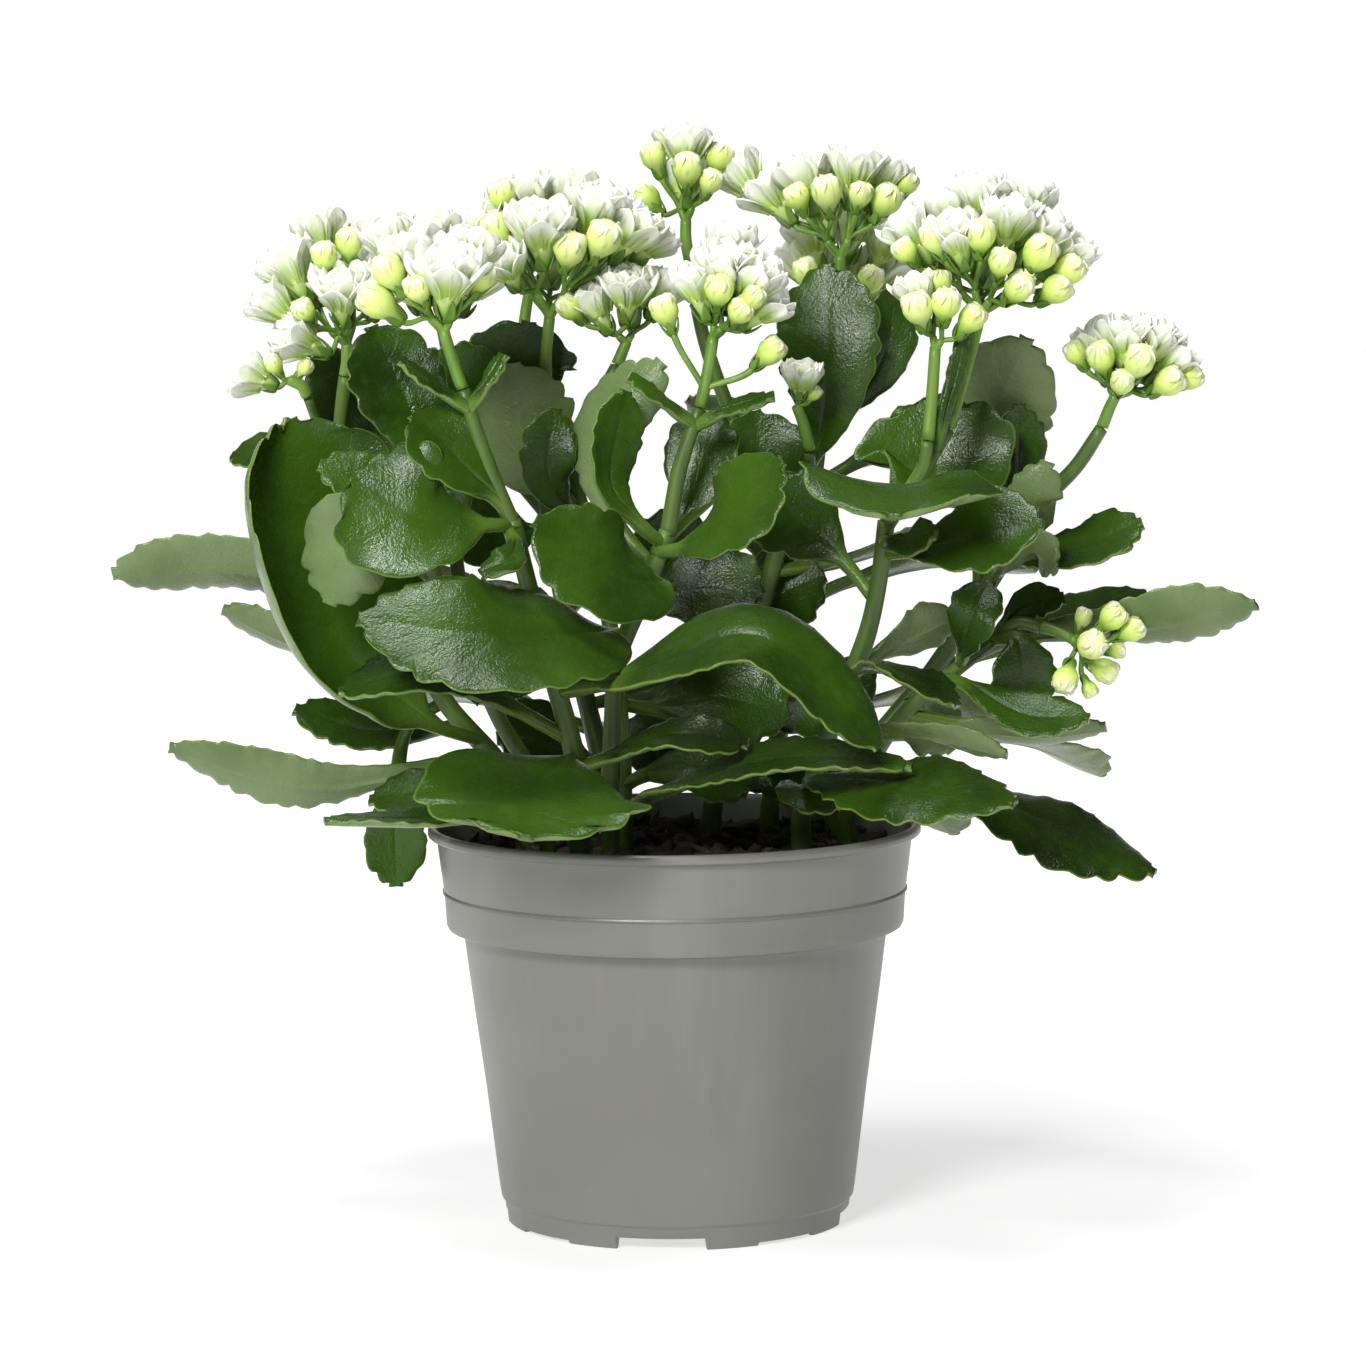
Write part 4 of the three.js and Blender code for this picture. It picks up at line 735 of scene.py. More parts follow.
            leaf([(78, 157, 15), (82, 160, 2), (88, 163, -6), (93, 158, -12)], 7, (0, 0.8, 0.5)),
            leaf([(74, 150, 18), (75, 172, 19), (77, 192, 14), (86, 214, 8)],
                14, (0.2, 0.95, 0.2), cup=0.15),
            leaf([(84, 166, 11), (84, 178, 10), (84, 188, 8), (84, 198, 6)], 7, (0, -0.95, 0.2)),
            leaf([(64, 134, 22), (76, 138, 30), (96, 146, 34), (118, 150, 36)], 12, (0, -0.3, 1)),
            leaf([(52, 118, 24), (66, 118, 30), (86, 116, 40), (104, 108, 50)], 15, (0.1, 0.1, 1)),
        ],
    ),
    "leafy_stem_back_middle": dict(
        radius=2.6,
        line=[
            (9, 98, 16), (13, 120, 17), (20, 145, 18), (27, 168, 18), (33, 190, 18), (38, 210, 20),
            (41, 226, 22),
        ],
        branches=[
            (1.8, [(27, 168, 18), (17, 190, 24), (8, 215, 26), (5, 232, 26)]),
            (1.3, [(29, 176, 18), (33, 180, 8), (33.5, 187, 0.6)]),
        ],
        leaves=[
            leaf([(30, 178, 18), (36, 190, 10), (38, 208, 6), (38, 232, 12)],
                13, (-0.25, -0.95, 0.2), cup=0.05),
            leaf([(34, 192, 18), (45, 200, 14), (52, 212, 12), (54, 227, 14)], 7, (0.2, -0.95, 0.2)),
            leaf([(27, 166, 18), (24, 172, 8), (22, 182, 4), (20, 197, 6)], 12, (0, -0.9, 0.4)),
            leaf([(24, 158, 18), (38, 160, 26), (54, 164, 34), (72, 168, 40)], 13, (0, 0.2, 1)),
            leaf([(18, 138, 18), (20, 144, 22), (26, 152, 22), (37, 157, 20)], 12, (0, -0.9, 0.5)),
            leaf([(13, 120, 17), (18, 124, 14), (28, 126, 10), (41, 124, 8)], 11, (0, -0.8, 0.6)),
            leaf([(10, 104, 16), (16, 108, 12), (24, 109, 10), (34, 106, 10)], 9, (0, -0.8, 0.6)),
            leaf([(11, 110, 16), (4, 114, 14), (-4, 117, 13), (-12, 112, 12)], 9, (0, -0.8, 0.6)),
            leaf([(20, 146, 18), (12, 152, 18), (2, 160, 16), (-8, 170, 12)], 12, (0, -0.9, 0.4)),
        ],
    ),
    "leafy_stem_back_left": dict(
        radius=2.6,
        line=[
            (-15, 98, 26), (-16, 105, 26.5), (-20, 122, 30), (-26, 148, 34), (-30, 172, 36),
            (-34, 196, 36), (-36, 212, 34),
        ],
        branches=[
            (1.7, [(-30, 172, 36), (-44, 190, 42), (-52, 206, 46)]),
        ],
        leaves=[
            leaf([(-20, 120, 30), (-32, 124, 40), (-56, 128, 52), (-80, 118, 62)], 20, (-0.1, 0.2, 1)),
            leaf([(-19, 116, 29), (-14, 120, 46), (-6, 120, 67), (2, 108, 81.5)], 22, (0, 0.3, 1)),
            leaf([(-26, 146, 34), (-40, 152, 42), (-64, 158, 52), (-88, 158, 60)], 17, (0, 0.3, 1)),
            leaf([(-26, 148, 34), (-20, 154, 46), (-12, 160, 62), (-4, 158, 79.5)], 17, (0.1, 0.5, 1)),
            leaf([(-31, 176, 36), (-42, 184, 42), (-60, 192, 46), (-76, 202, 46)], 13, (0.1, 0.4, 0.9)),
            leaf([(-31, 178, 36), (-28, 184, 48), (-30, 192, 60), (-34, 196, 72)], 12, (0, 0.5, 1)),
            leaf([(-16, 104, 26), (-24, 108, 40), (-36, 108, 56), (-46, 100, 74)], 15, (0, 0.2, 1)),
            leaf([(-21, 126, 31), (-12, 128, 32), (0, 131, 32), (14, 133, 32)], 10, (0, -0.9, 0.4)),
            leaf([(-26, 146, 34), (-34, 143, 32), (-42, 137, 30), (-49, 127, 28)], 12, (0, -0.9, 0.4)),
            leaf([(-17, 110, 27), (-24, 114, 24), (-34, 118, 22), (-43, 118, 20)], 10, (0, -0.9, 0.5)),
            leaf([(-30, 170, 36), (-36, 168, 30), (-44, 169, 27), (-54, 174, 26)], 11, (0, -0.9, 0.3)),
        ],
    ),
    "leafy_stem_rear": dict(
        radius=2.5,
        line=[(23, 98, 34), (26, 122, 38), (30, 146, 42), (33, 168, 44), (36, 190, 46), (38, 206, 48)],
        branches=[],
        leaves=[
            leaf([(26, 120, 38), (38, 124, 48), (58, 126, 60), (78, 116, 72)], 19, (0, 0.2, 1)),
            leaf([(26, 122, 38), (22, 126, 52), (16, 130, 69), (12, 122, 81.5)], 17, (0, 0.4, 1)),
            leaf([(31, 150, 42), (44, 156, 50), (66, 160, 58), (88, 158, 62)], 15, (0, 0.3, 1)),
            leaf([(31, 152, 42), (28, 158, 54), (26, 166, 69), (30, 168, 81.5)], 14, (0, 0.5, 1)),
            leaf([(34, 178, 45), (44, 184, 48), (58, 190, 48), (70, 200, 44)], 11, (0, 0.5, 1)),
            leaf([(34, 178, 45), (24, 184, 52), (14, 192, 56), (4, 200, 56)], 11, (0, 0.5, 1)),
            leaf([(24, 106, 34), (38, 108, 44), (56, 104, 58), (68, 94, 74)], 14, (0, 0.1, 1)),
            leaf([(30, 146, 42), (21, 149, 37), (10, 154, 34), (-6, 158, 32)], 12, (0, -0.9, 0.4)),
            leaf([(28, 133, 40), (34, 133, 36), (40, 130, 34), (47, 124, 33)], 9, (0, -0.9, 0.4)),
        ],
    ),
}

# A bloom or bud is (x, z, depth, radius), with its depth counted from the head's centre.
# A side bud's depth is counted from the pot's axis.
HEADS = {
    "flower_head_left": dict(
        stem=[(-78.5, 206.5, 5), (-78, 210, 4.5), (-78, 214, 4)],
        centre=(-80, 229, 4),
        core=10,
        behind=3,
        blooms=[
            (-92, 234, -4, 5.5), (-79, 228, -12, 5.5), (-91, 216, -6, 5), (-96, 225, -2, 5),
            (-84, 242, 4, 5), (-73, 240, 6, 5), (-68, 229, -2, 5),
        ],
        buds=[(-83, 235, -11, 3.2), (-77, 238, -9, 3.4), (-88, 222, -10, 2.8)],
    ),
    "flower_head_far_left": dict(
        stem=[(-87.8, 201.8, -0.6), (-89, 204, -2), (-92, 205.5, -2.5)],
        centre=(-97, 206, -2),
        core=0,
        behind=0,
        blooms=[(-101, 206.5, -1, 4.2)],
        buds=[(-95.5, 209, -3, 2.2), (-88.5, 208, 0, 2)],
    ),
    "flower_head_front_left": dict(
        stem=[(-50.2, 203.1, -42), (-52, 208.5, -42.5), (-54.5, 217, -43)],
        centre=(-57, 231, -43),
        core=8,
        behind=2,
        blooms=[
            (-53, 232, -9, 6.5), (-62, 237, -2, 5.6), (-67, 240, 3, 5), (-47, 237, 1, 5),
            (-57, 241, 4, 5),
        ],
        buds=[(-70, 224, -3, 4.2), (-60.5, 227, -9, 3.2), (-45.5, 229.5, -5, 3.4), (-67, 231, -6, 3.8)],
    ),
    "flower_head_middle": dict(
        stem=[(-30, 204.6, 8), (-30, 211, 8), (-29, 220, 8)],
        centre=(-29, 237, 8),
        core=13,
        behind=3,
        blooms=[
            (-31, 243, -14, 6), (-17, 247, -8, 6.2), (-8, 242, -6, 5.4), (-45, 243, -6, 5.2),
            (-34, 250, -2, 5.4), (-23, 251, 0, 5.4), (-40, 234, -13, 4.6), (-3, 239, 0, 4.4),
        ],
        buds=[
            (-40, 249, -9, 3.4), (-41.5, 241, -12, 3.6), (-24, 236, -16, 4),
            (-16, 238.5, -15, 4.3), (-47, 235, -5, 3),
        ],
    ),
    "flower_head_inner": dict(
        stem=[(-12.8, 208.5, 9), (-10.5, 214, 9)],
        centre=(-9, 226, 8),
        core=5,
        behind=1,
        blooms=[(-10, 228, -7, 5), (-19, 224, -2, 4.6), (-1, 227, 5, 4.4)],
        buds=[(-24, 222, -4, 3)],
    ),
    "flower_head_front": dict(
        stem=[(7.2, 198.1, -22), (9, 206, -22), (10.5, 215, -22)],
        centre=(14, 227, -23),
        core=6,
        behind=2,
        blooms=[
            (14, 233, -6, 5.6), (21, 230, -5, 5.4), (7, 229, -2, 5), (24, 223.5, -1, 4.6),
            (15, 238, 4, 5),
        ],
        buds=[(12, 226, -9, 3.6), (17, 221, -8, 3.2), (20, 224, -9, 2.8)],
        side_buds=[(-1, 221, -25, 3.4), (24, 211, -25, 3.2)],
    ),
    "flower_head_back_middle": dict(
        stem=[(5, 232.6, 26), (4, 238, 26), (4, 243, 26)],
        centre=(4, 253, 26),
        core=4,
        behind=1,
        blooms=[(4, 262, 0, 5)],
        buds=[
            (4.5, 255, -6, 3.6), (-3.5, 258, -1, 3.2), (12, 257.5, 0, 3.4), (10, 252, -5, 3),
            (-5, 248, 4, 3.4),
        ],
    ),
    "flower_head_back_right": dict(
        stem=[(41, 226.6, 22), (41, 230, 22), (41, 234, 22)],
        centre=(42, 246, 22),
        core=8,
        behind=2,
        blooms=[
            (32, 254, 0, 5.2), (45, 256, -2, 5.4), (52, 254, 2, 5), (38, 256, 5, 5),
            (24, 250, 4, 5), (17, 254, 8, 5),
        ],
        buds=[
            (38, 249, -8, 3.8), (52, 247, -5, 3.8), (46, 248.5, -8, 3), (31, 248, -6, 3.2),
            (57, 251, 0, 2.8),
        ],
    ),
    "flower_head_right": dict(
        stem=[(67.3, 192.6, -14), (71, 205, -12), (75, 220, -10)],
        centre=(76, 234, -10),
        core=12,
        behind=3,
        blooms=[
            (66, 246, 0, 5.2), (74, 249, -2, 5.4), (82, 244, -6, 5.6), (90, 241, -2, 5.4),
            (96, 236, 2, 5), (58, 241, 0, 5), (86, 248, 4, 5), (69, 240, -11, 5),
        ],
        buds=[
            (75, 238.5, -14, 3.8), (89, 234, -10, 4.2), (96, 230, -6, 3.6), (84, 226, -11, 3.6),
            (64, 238, -10, 3.4), (57, 235, -5, 3), (93, 225.5, -7, 3.6), (80, 232, -14, 3.2),
        ],
    ),
    "flower_head_low_right": dict(
        stem=[(62.1, 189.6, -20.6), (63, 198, -20), (64, 212, -20)],
        centre=(65, 221, -20),
        core=0,
        behind=0,
        blooms=[(60, 226, 2, 4.4)],
        buds=[(60, 221, -5, 3.8), (66.5, 222, -6, 3.6), (72.5, 218.5, -3, 3.2), (65, 227, 1, 3)],
    ),
    "flower_head_far_right": dict(
        stem=[(104.2, 192.5, 1), (106, 197, 0.5), (107.5, 200, 0)],
        centre=(112, 209, 0),
        core=8,
        behind=2,
        blooms=[(110, 215, -4, 5.2), (117, 214, -3, 5), (122, 209, 0, 4.8), (104, 213, 2, 4.6)],
        buds=[
            (104, 209, -6, 3.6), (113, 208, -9, 3.8), (120, 203, -6, 3.6), (125, 204, -1, 3.2),
            (98, 210, -1, 2.8), (109, 203, -7, 3),
        ],
    ),
    "bud_cluster_right": dict(
        stem=[(89.6, 144, -9), (93, 143, -11), (97, 141, -13)],
        centre=(103, 140, -16),
        core=0,
        behind=0,
        blooms=[],
        buds=[
            (101.5, 139.5, -7, 3.6), (106.5, 146, 0, 3.2), (111, 143, 2, 3), (99.5, 146, 3, 2.1),
            (107.5, 138, 1, 2), (95.5, 131.5, -1, 3.2), (104.5, 133.5, 0, 3), (101, 129, 2, 2),
        ],
    ),
    "flower_head_single": dict(
        stem=[(33.4, 187.7, 0), (32, 194, -3), (30.5, 198, -5)],
        centre=(31, 204, -6),
        core=0,
        behind=0,
        blooms=[(31.5, 205, -1, 3.8)],
        buds=[(34.5, 201, 1, 1.8)],
    ),
    "flower_head_rear_left": dict(
        stem=[(-52.2, 206.6, 46), (-54, 212, 47), (-55, 217, 48)],
        centre=(-56, 230, 50),
        core=10,
        behind=3,
        blooms=[(-66, 234, 0, 5.2), (-57, 240, 0, 5.4), (-47, 236, 0, 5.2)],
        buds=[(-62, 226, -9, 3.4), (-51, 227, -9, 3.4)],
    ),
    "flower_head_rear_middle": dict(
        stem=[(-36, 212.6, 34), (-35, 220, 36), (-34, 226, 38)],
        centre=(-32, 238, 42),
        core=9,
        behind=3,
        blooms=[(-38, 247, 2, 5.2), (-26, 247, 2, 5.2)],
        buds=[],
    ),
    "flower_head_rear_right": dict(
        stem=[(38, 206.6, 48), (39, 212, 49), (40, 218, 50)],
        centre=(42, 231, 52),
        core=11,
        behind=4,
        blooms=[(34, 240, 0, 5.2), (44, 243, 0, 5.4), (53, 238, 0, 5.2)],
        buds=[(33, 230, -8, 3.2), (48, 228, -9, 3.4)],
    ),
}


def pot_angles():
    """Angles round the pot, with two close together at each end of a notch or a pad."""
    ends = []
    for i in range(NOTCH_COUNT):
        notch = FIRST_NOTCH + 360 / NOTCH_COUNT * i
        middle = notch + 180 / NOTCH_COUNT
        gap = (360 / NOTCH_COUNT - NOTCH_ANGLE) / 2 - PAD_ANGLE
        for end in (notch - NOTCH_ANGLE / 2, notch + NOTCH_ANGLE / 2, middle - gap, middle + gap):
            ends += [end - 0.2, end + 0.2]
    angles = np.concatenate([np.arange(0, 360, 2.0), np.array(ends) % 360])
    return np.unique(np.round(angles, 2))


def skirt_bottom(angle):
    """The height of the skirt's lower edge: open notches, pads that the pot stands on, and between them."""
    share = (angle - FIRST_NOTCH + NOTCH_ANGLE / 2) % (360 / NOTCH_COUNT)
    from_notch = share - NOTCH_ANGLE
    wide = 360 / NOTCH_COUNT - NOTCH_ANGLE
    if from_notch < 0:
        return NOTCH_HEIGHT
    if from_notch < PAD_ANGLE or from_notch > wide - PAD_ANGLE:
        return 0
    return PAD_STEP


def make_pot():
    """The pot, turned from its profile of (radius, height), with notches in its skirt and drainage holes."""
    angles = pot_angles()
    bottom = np.array([skirt_bottom(a) for a in angles])
    profile = [
        (20, FLOOR_UNDERSIDE), (38.6, FLOOR_UNDERSIDE), (39.3, SKIRT_TOP - 0.1), (39.9, 0.3), (40.3, 0),
        (41.4, 0), (41.8, 0.35), (42.1, SKIRT_TOP), (42.3, 4.9), (42.5, 5.5), (43.1, 6), (43.5, 8.5),
        (46.5, 33), (49.8, 57), (51.4, 69.6), (51.7, 71), (52.3, 71.7), (53.2, 72), (54.6, 72), (55.3, 72.3),
        (55.65, 73), (55.75, 74), (56.15, 80.4), (56.6, 80.8), (56.6, 81.2), (56.3, 81.6), (57.0, 87),
        (57.75, 93.3), (57.95, 94), (58.6, 94.35), (59.5, 94.5), (59.95, 94.9), (60, 95.6), (59.95, 96.3),
        (59.6, 96.8), (59.0, 97), (58.4, 96.9), (57.9, 96.5), (57.6, 95.6), (56.9, 88), (54.5, 75),
        (53.8, 73.6), (51.0, 72.5), (50.4, 71), (42.4, 8), (41.6, 5.9), (40.6, 5.1), (39.2, FLOOR_TOP),
        (20, FLOOR_TOP),
    ]
    turn = np.radians(angles)
    rings = []
    for radius, height in profile:
        heights = np.full_like(turn, height)
        if height < SKIRT_TOP and radius < SKIRT_RADIUS:
            heights = np.maximum(height, bottom + height * 0.1)
        rings.append(np.stack([radius * np.cos(turn), radius * np.sin(turn), heights], axis=-1))
    skin = Skin()
    skin.loft(np.array(rings), np.array([0, 0, FLOOR_UNDERSIDE]), np.array([0, 0, FLOOR_TOP]), 0)
    pot = skin.finish("pot_shell", [pot_material()], "pot", "pot")
    for i in range(NOTCH_COUNT):
        cut_drain(pot, math.radians(FIRST_NOTCH + 360 / NOTCH_COUNT * i))
    pot.data.polygons.foreach_set("use_smooth", [True] * len(pot.data.polygons))
    pot.data.set_sharp_from_angle(angle=SHARP_EDGE)


def cut_drain(pot, angle):
    """One drainage hole through the pot's raised floor."""
    place = Vector((math.cos(angle), math.sin(angle), 0)) * DRAIN_CIRCLE * MM
    place.z = (FLOOR_UNDERSIDE + FLOOR_TOP) / 2 * MM
    bpy.ops.mesh.primitive_cylinder_add(vertices=32, radius=DRAIN_RADIUS * MM, depth=8 * MM, location=place)
    cutter = bpy.context.object
    cut = pot.modifiers.new("drain", "BOOLEAN")
    cut.operation = "DIFFERENCE"
    cut.solver = "EXACT"
    cut.object = cutter
    bpy.context.view_layer.objects.active = pot
    bpy.ops.object.modifier_apply(modifier=cut.name)
    bpy.data.objects.remove(cutter)


def ground(x, y):
    """The height of the soil's crumbly top."""
    slow = math.sin(0.21 * x + 1.3) * math.cos(0.17 * y) + 0.5 * math.sin(0.47 * x - 0.39 * y)
    clods = noise.fractal(Vector((x * 0.16, y * 0.16, 3.1)), 0.9, 2.2, 5)
    return SOIL_HEIGHT + SOIL_BUMP * slow * max(0.0, 1 - (math.hypot(x, y) / 56) ** 6) + 1.5 * clods


def add_lump(skin, place, size, stretch, slot, points, faces):
    """An irregular crumb, from the points and faces of a ball."""
    spin = Matrix.Rotation(between(0, 6), 3, Vector(unit(rng.normal(size=3))))
    seed = Vector(rng.random(3) * 50)
    shape = []
    for point in points:
        rough = 1 + 0.55 * noise.noise(Vector(point) * 1.7 + seed)
        shape.append(spin @ Vector((point[0] * stretch, point[1], point[2] * 0.8)) * size * rough)
    skin.add(np.array(shape) + place, [faces], slot, tone=rng.random())


def make_soil():
    """Peat that fills the pot, with a crumbly top, loose crumbs, fibres and a few pale grains."""
    turn = np.linspace(0, 2 * math.pi, 150, endpoint=False)
    side = [
        (38.0, SOIL_BOTTOM), (40.6, 6.9), (50.0, COLLAR_BOTTOM + GAP), (54.0, COLLAR_BOTTOM + 2.5),
        (SOIL_RADIUS, 87),
    ]
    rings = [[(r * math.cos(a), r * math.sin(a), z) for a in turn] for r, z in side]
    for r in np.linspace(SOIL_RADIUS, 1.2, 46):
        around = [(r * math.cos(a), r * math.sin(a)) for a in turn]
        rings.append([(x, y, ground(x, y)) for x, y in around])
    skin = Skin()
    skin.loft(np.array(rings), np.array([0, 0, SOIL_BOTTOM]), np.array([0, 0, ground(0, 0)]), 0, tone=0.4)
    bpy.ops.mesh.primitive_ico_sphere_add(subdivisions=2, radius=1)
    ball = bpy.context.object
    points = np.array([tuple(v.co) for v in ball.data.vertices])
    faces = np.array([tuple(p.vertices) for p in ball.data.polygons])
    bpy.data.objects.remove(ball)
    for i in range(CRUMB_COUNT):
        r = 54.5 * math.sqrt(rng.random())
        a = between(0, 2 * math.pi)
        x, y = r * math.cos(a), r * math.sin(a)
        grain = i % GRAIN_EVERY == 0
        fibre = i % FIBRE_EVERY == 1
        size = between(0.4, 0.8) if grain else between(0.6, 2.1) * (0.6 if fibre else 1)
        stretch = between(3, 5) if fibre and not grain else 1.2
        inwards = 1 - 0.05 * fibre
        place = np.array([x * inwards, y * inwards, ground(x, y) + 0.25 * size])
        add_lump(skin, place, size, stretch, 1 if grain else 0, points, faces)
    skin.finish("soil_fill", [soil_material(), grain_material()], "soil", "potting_soil")


# Materials


class Nodes:
    """A material's nodes, made one after another."""

    def __init__(self, name):
        self.material = bpy.data.materials.new(name)
        self.material.use_nodes = True
        self.tree = self.material.node_tree
        self.shader = self.tree.nodes["Principled BSDF"]
        self.where = self.add("ShaderNodeTexCoord").outputs["Object"]

    def add(self, kind, **settings):
        node = self.tree.nodes.new(kind)
        for name, value in settings.items():
            setattr(node, name, value)
        return node

    def link(self, source, target):
        self.tree.links.new(source, target)

    def put(self, socket, value):
        if isinstance(value, bpy.types.NodeSocket):
            self.link(value, socket)
        else:
            socket.default_value = value

    def value(self, name):
        return self.add("ShaderNodeAttribute", attribute_name=name).outputs["Fac"]

    def noise(self, scale, detail=4, rough=0.55, stretch=None):
        node = self.add("ShaderNodeTexNoise")
        where = self.where
        if stretch is not None:
            moved = self.add("ShaderNodeMapping")
            moved.inputs["Scale"].default_value = stretch
            self.link(where, moved.inputs["Vector"])
            where = moved.outputs["Vector"]
        self.link(where, node.inputs["Vector"])
        node.inputs["Scale"].default_value = scale
        node.inputs["Detail"].default_value = detail
        node.inputs["Roughness"].default_value = rough
        return node.outputs["Fac"]

    def math(self, operation, a, b=0.0):
        node = self.add("ShaderNodeMath", operation=operation)
        self.put(node.inputs[0], a)
        self.put(node.inputs[1], b)
        return node.outputs[0]

    def span(self, value, low, high, to_low=0.0, to_high=1.0):
        """The value, moved from one range to another and held inside it."""
        node = self.add("ShaderNodeMapRange", interpolation_type="SMOOTHSTEP")
        self.put(node.inputs["Value"], value)
        for name, number in (("From Min", low), ("From Max", high), ("To Min", to_low), ("To Max", to_high)):
            node.inputs[name].default_value = number
        return node.outputs["Result"]

    def mix(self, share, a, b):
        node = self.add("ShaderNodeMix", data_type="RGBA")
        self.put(node.inputs[0], share)
        self.put(node.inputs[6], a)
        self.put(node.inputs[7], b)
        return node.outputs[2]

    def bump(self, height, strength, distance, below=None):
        node = self.add("ShaderNodeBump")
        self.link(height, node.inputs["Height"])
        node.inputs["Strength"].default_value = strength
        node.inputs["Distance"].default_value = distance
        if below is not None:
            self.link(below, node.inputs["Normal"])
        return node.outputs["Normal"]

    def surface(self, color, roughness, normal=None, **settings):
        self.put(self.shader.inputs["Base Color"], color)
        self.put(self.shader.inputs["Roughness"], roughness)
        if normal is not None:
            self.link(normal, self.shader.inputs["Normal"])
        for name, value in settings.items():
            self.shader.inputs[name.replace("_", " ")].default_value = value
        return self.material


def rgb(red, green, blue):
    """A colour from its display values, 0 to 255."""
    shown = np.array([red, green, blue]) / 255
    linear = np.where(shown <= 0.04045, shown / 12.92, ((shown + 0.055) / 1.055) ** 2.4)
    return (*linear.tolist(), 1.0)


def leaf_material():
    n = Nodes("leaf_green")
    patches = n.noise(45, 3)
    speckle = n.noise(420, 3, 0.7)
    upper = n.mix(n.span(patches, 0.35, 0.68), rgb(22, 40, 5), rgb(42, 70, 10))
    upper = n.mix(n.span(n.value("tone"), 0.0, 1.0, 0.0, 0.4), upper, rgb(60, 92, 20))
    upper = n.mix(n.span(speckle, 0.5, 0.8, 0.0, 0.15), upper, rgb(78, 104, 40))
    lower = n.mix(n.span(patches, 0.3, 0.7), rgb(88, 108, 62), rgb(106, 124, 80))
    color = n.mix(n.value("under"), upper, lower)
    color = n.mix(n.span(n.value("length"), 0.0, 0.2, 0.8, 0.0), color, rgb(84, 114, 40))
    color = n.mix(n.span(n.value("across"), 0.965, 1.0, 0.0, 0.6), color, rgb(116, 142, 56))
    rough = n.span(n.noise(160, 3), 0.3, 0.7, 0.18, 0.32)
    fine = n.bump(n.noise(1500, 2, 0.6), 0.4, 0.0004)
    veins = n.math("SUBTRACT", n.value("length"), n.math("MULTIPLY", n.value("across"), 0.2))
    ridge = n.math("PINGPONG", n.math("MULTIPLY", veins, 9.0), 0.5)
    normal = n.bump(n.span(ridge, 0.0, 0.14), 0.05, 0.001, fine)
    normal = n.bump(n.noise(75, 3), 0.3, 0.002, normal)
    return n.surface(color, rough, normal, Specular_IOR_Level=0.3)


def stem_material():
    n = Nodes("stem_green")
    streaks = n.noise(70, 4, 0.6, stretch=(1, 1, 0.15))
    color = n.mix(n.span(streaks, 0.35, 0.65), rgb(54, 78, 24), rgb(82, 110, 38))
    color = n.mix(n.span(n.value("length"), 0.0, 0.4, 0.35, 0.0), color, rgb(84, 92, 46))
    normal = n.bump(streaks, 0.3, 0.0008)
    return n.surface(color, n.span(streaks, 0.3, 0.7, 0.38, 0.5), normal)


def petal_material():
    n = Nodes("petal_white")
    along = n.value("length")
    color = n.mix(n.span(along, 0.12, 0.85), rgb(172, 206, 84), rgb(244, 245, 234))
    color = n.mix(n.span(n.value("tone"), 0.5, 1.0, 0.0, 0.35), color, rgb(226, 234, 186))
    veins = n.noise(900, 2, 0.5, stretch=(1, 1, 0.3))
    normal = n.bump(veins, 0.15, 0.0003)
    # Painted glow: the petals glow faintly in their own colour, which brightens them though they are no lamp
    n.link(color, n.shader.inputs["Emission Color"])
    return n.surface(color, n.span(veins, 0.3, 0.7, 0.5, 0.62), normal, Subsurface_Weight=0.4,
                     Subsurface_Radius=(1, 1, 0.8), Subsurface_Scale=0.002, Emission_Strength=0.03)


def bud_material():
    n = Nodes("bud_lime")
    along = n.value("length")
    color = n.mix(n.span(along, 0.12, 0.6), rgb(108, 152, 36), rgb(198, 220, 108))
    color = n.mix(n.span(along, 0.55, 1.0), color, rgb(232, 240, 168))
    color = n.mix(n.span(n.value("tone"), 0.4, 1.0, 0.0, 0.3), color, rgb(226, 236, 170))
    color = n.mix(n.span(n.value("across"), 0.2, 1.0, 0.0, 0.5), color, rgb(140, 178, 60))
    mottle = n.noise(600, 3)
    return n.surface(color, n.span(mottle, 0.3, 0.7, 0.42, 0.56), n.bump(mottle, 0.12, 0.0003),
                     Subsurface_Weight=0.2, Subsurface_Radius=(0.8, 1, 0.4), Subsurface_Scale=0.001)


def funnel_material():
    """The green foot of an open flower, paler towards its petals."""
    n = Nodes("funnel_green")
    along = n.value("length")
    color = n.mix(n.span(along, 0.0, 0.9), rgb(116, 168, 50), rgb(204, 222, 140))
    streaks = n.noise(500, 3, 0.6, stretch=(1, 1, 0.3))
    color = n.mix(n.span(streaks, 0.4, 0.7, 0.0, 0.35), color, rgb(148, 190, 80))
    return n.surface(color, n.span(streaks, 0.3, 0.7, 0.38, 0.5), n.bump(streaks, 0.15, 0.0003),
                     Subsurface_Weight=0.15, Subsurface_Radius=(0.8, 1, 0.4), Subsurface_Scale=0.001)


def bud_tip_material():
    n = Nodes("bud_tip_cream")
    veins = n.noise(900, 2)
    color = n.mix(n.span(n.value("length"), 0.0, 1.0), rgb(206, 222, 136), rgb(240, 243, 214))
    return n.surface(color, n.span(veins, 0.3, 0.7, 0.45, 0.58), n.bump(veins, 0.15, 0.0003),
                     Subsurface_Weight=0.2, Subsurface_Radius=(0.8, 1, 0.4), Subsurface_Scale=0.001)


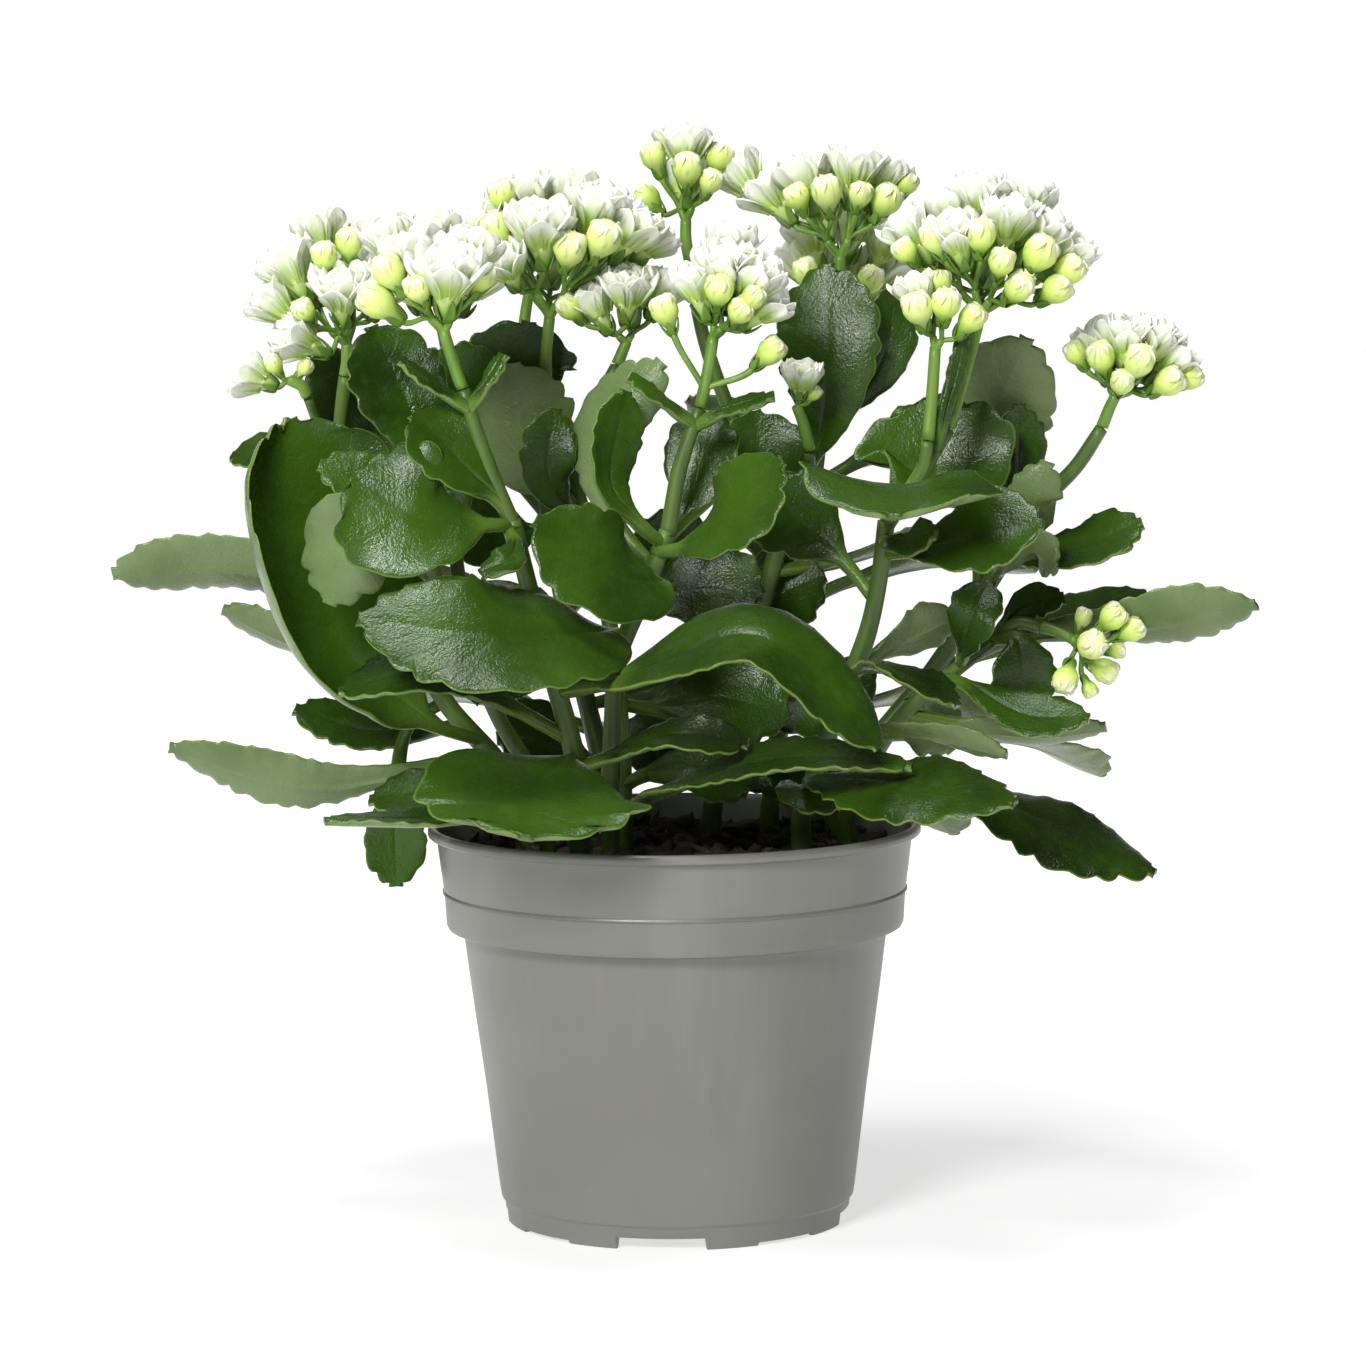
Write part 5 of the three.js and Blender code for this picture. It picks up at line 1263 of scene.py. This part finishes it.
def stalk_material():
    n = Nodes("stalk_green")
    streaks = n.noise(160, 3, 0.6, stretch=(1, 1, 0.3))
    color = n.mix(n.span(streaks, 0.35, 0.65), rgb(88, 124, 38), rgb(116, 152, 56))
    color = n.mix(n.span(n.value("tone"), 0.0, 1.0, 0.0, 0.4), color, rgb(72, 106, 32))
    return n.surface(color, n.span(streaks, 0.3, 0.7, 0.36, 0.48), n.bump(streaks, 0.2, 0.0004),
                     Specular_IOR_Level=0.5)


def pot_material():
    n = Nodes("pot_grey")
    broad = n.noise(9, 3, 0.5, stretch=(1, 1, 2.2))
    streaks = n.noise(60, 4, 0.6, stretch=(1, 1, 0.12))
    grain = n.noise(1400, 2, 0.5)
    color = n.mix(n.span(broad, 0.35, 0.65), rgb(112, 112, 106), rgb(121, 121, 115))
    color = n.mix(n.span(streaks, 0.45, 0.75, 0.0, 0.5), color, rgb(128, 128, 122))
    scuffs = n.noise(28, 5, 0.7, stretch=(1, 1, 2))
    color = n.mix(n.span(scuffs, 0.62, 0.74, 0.0, 0.3), color, rgb(116, 108, 92))
    rough = n.span(streaks, 0.3, 0.7, 0.36, 0.44)
    normal = n.bump(grain, 0.06, 0.0004, n.bump(streaks, 0.05, 0.001))
    return n.surface(color, rough, normal, Metallic=0.2)


def soil_material():
    n = Nodes("peat")
    clods = n.noise(260, 5, 0.7)
    color = n.mix(n.span(clods, 0.35, 0.65), rgb(22, 16, 12), rgb(58, 44, 33))
    color = n.mix(n.span(n.value("tone"), 0.5, 1.0, 0.0, 0.5), color, rgb(78, 60, 44))
    normal = n.bump(n.noise(1100, 4, 0.7), 0.8, 0.0012, n.bump(clods, 0.8, 0.002))
    return n.surface(color, n.span(clods, 0.3, 0.7, 0.85, 0.98), normal)


def grain_material():
    n = Nodes("pale_grains")
    pits = n.noise(900, 3)
    color = n.mix(n.span(pits, 0.35, 0.65), rgb(150, 138, 118), rgb(200, 192, 176))
    return n.surface(color, n.span(pits, 0.3, 0.7, 0.75, 0.9), n.bump(pits, 0.5, 0.0005))


def floor_material():
    """A white floor that glows, less close to the pot: painted shade that darkens the floor where the plant's
    soft shadow lies.
    """
    n = Nodes("floor_white")
    cloud = n.noise(3, 2)
    color = n.mix(cloud, (0.4, 0.4, 0.4, 1), (0.44, 0.44, 0.44, 1))
    # Painted shadow: the floor's glow is weaker near the pot and stronger further away
    away = n.add("ShaderNodeVectorMath", operation="LENGTH")
    n.link(n.where, away.inputs[0])
    n.link(n.span(away.outputs["Value"], 0.04, 0.5, 0.66, 0.93), n.shader.inputs["Emission Strength"])
    return n.surface(color, n.span(cloud, 0.3, 0.7, 0.7, 0.8), Emission_Color=(1, 1, 1, 1),
                     Specular_IOR_Level=0.1)


# The studio


def make_floor():
    bpy.ops.mesh.primitive_plane_add(size=FLOOR_SIZE)
    floor = bpy.context.object
    floor.name = "studio_floor"
    floor.data.materials.append(floor_material())


def make_light(name, place, target, size, power):
    lamp = bpy.data.lights.new(name, "AREA")
    lamp.shape = "SQUARE"
    lamp.size = size
    lamp.energy = power
    light = bpy.data.objects.new(name, lamp)
    light.location = place
    light.rotation_euler = (Vector(target) - Vector(place)).to_track_quat("-Z", "Y").to_euler()
    bpy.context.collection.objects.link(light)


def make_camera():
    """The photograph's view: level with the blooms, looking slightly down, and rolled by half a degree."""
    camera = bpy.data.objects.new("camera", bpy.data.cameras.new("camera"))
    camera.data.lens = LENS
    camera.data.sensor_width = SENSOR
    camera.data.clip_start = 0.05
    forward = Vector((0, math.cos(LOOK_DOWN), -math.sin(LOOK_DOWN)))
    right = Vector((1, 0, 0))
    up = right.cross(forward)
    tilted_right = right * math.cos(ROLL) - up * math.sin(ROLL)
    tilted_up = right * math.sin(ROLL) + up * math.cos(ROLL)
    turn = Matrix((tilted_right, tilted_up, -forward)).transposed()
    place = Vector((EYE_X, -EYE_DISTANCE, EYE_HEIGHT)) * MM
    camera.matrix_world = Matrix.Translation(place) @ turn.to_4x4()
    bpy.context.collection.objects.link(camera)
    bpy.context.scene.camera = camera


def make_world():
    """A pale grey room with a white card behind the plant."""
    world = bpy.data.worlds.new("studio")
    world.use_nodes = True
    tree = world.node_tree
    place = tree.nodes.new("ShaderNodeTexCoord")
    axes = tree.nodes.new("ShaderNodeSeparateXYZ")
    card = tree.nodes.new("ShaderNodeMapRange")
    card.interpolation_type = "SMOOTHSTEP"
    tree.links.new(place.outputs["Generated"], axes.inputs[0])
    tree.links.new(axes.outputs["Y"], card.inputs["Value"])
    settings = dict(zip(("From Min", "From Max", "To Min", "To Max"), (*CARD_EDGE, ROOM_LIGHT, CARD_LIGHT)))
    for name, value in settings.items():
        card.inputs[name].default_value = value
    tree.links.new(card.outputs[0], tree.nodes["Background"].inputs["Strength"])
    tree.nodes["Background"].inputs["Color"].default_value = (1, 1, 1, 1)
    bpy.context.scene.world = world


make_camera()
make_world()
make_floor()
make_light("key", KEY_PLACE, (0, 0, 0.12), KEY_SIZE, KEY_POWER)
make_light("top", TOP_PLACE, (0, 0, 0.1), TOP_SIZE, TOP_POWER)

make_pot()
make_soil()
leaf_look = [leaf_material(), stem_material()]
for name, stem in LEAFY_STEMS.items():
    skin = Skin()
    add_leafy_stem(skin, **stem)
    skin.finish(name + "_foliage", leaf_look, "leaf", name)
head_look = [petal_material(), stalk_material(), bud_material(), funnel_material(), bud_tip_material()]
for name, head in HEADS.items():
    skin = Skin()
    add_head(skin, **head)
    skin.finish(name + "_blossom", head_look, "flower", name)

bpy.context.scene.view_settings.view_transform = "Standard"

bpy.context.view_layer.update()
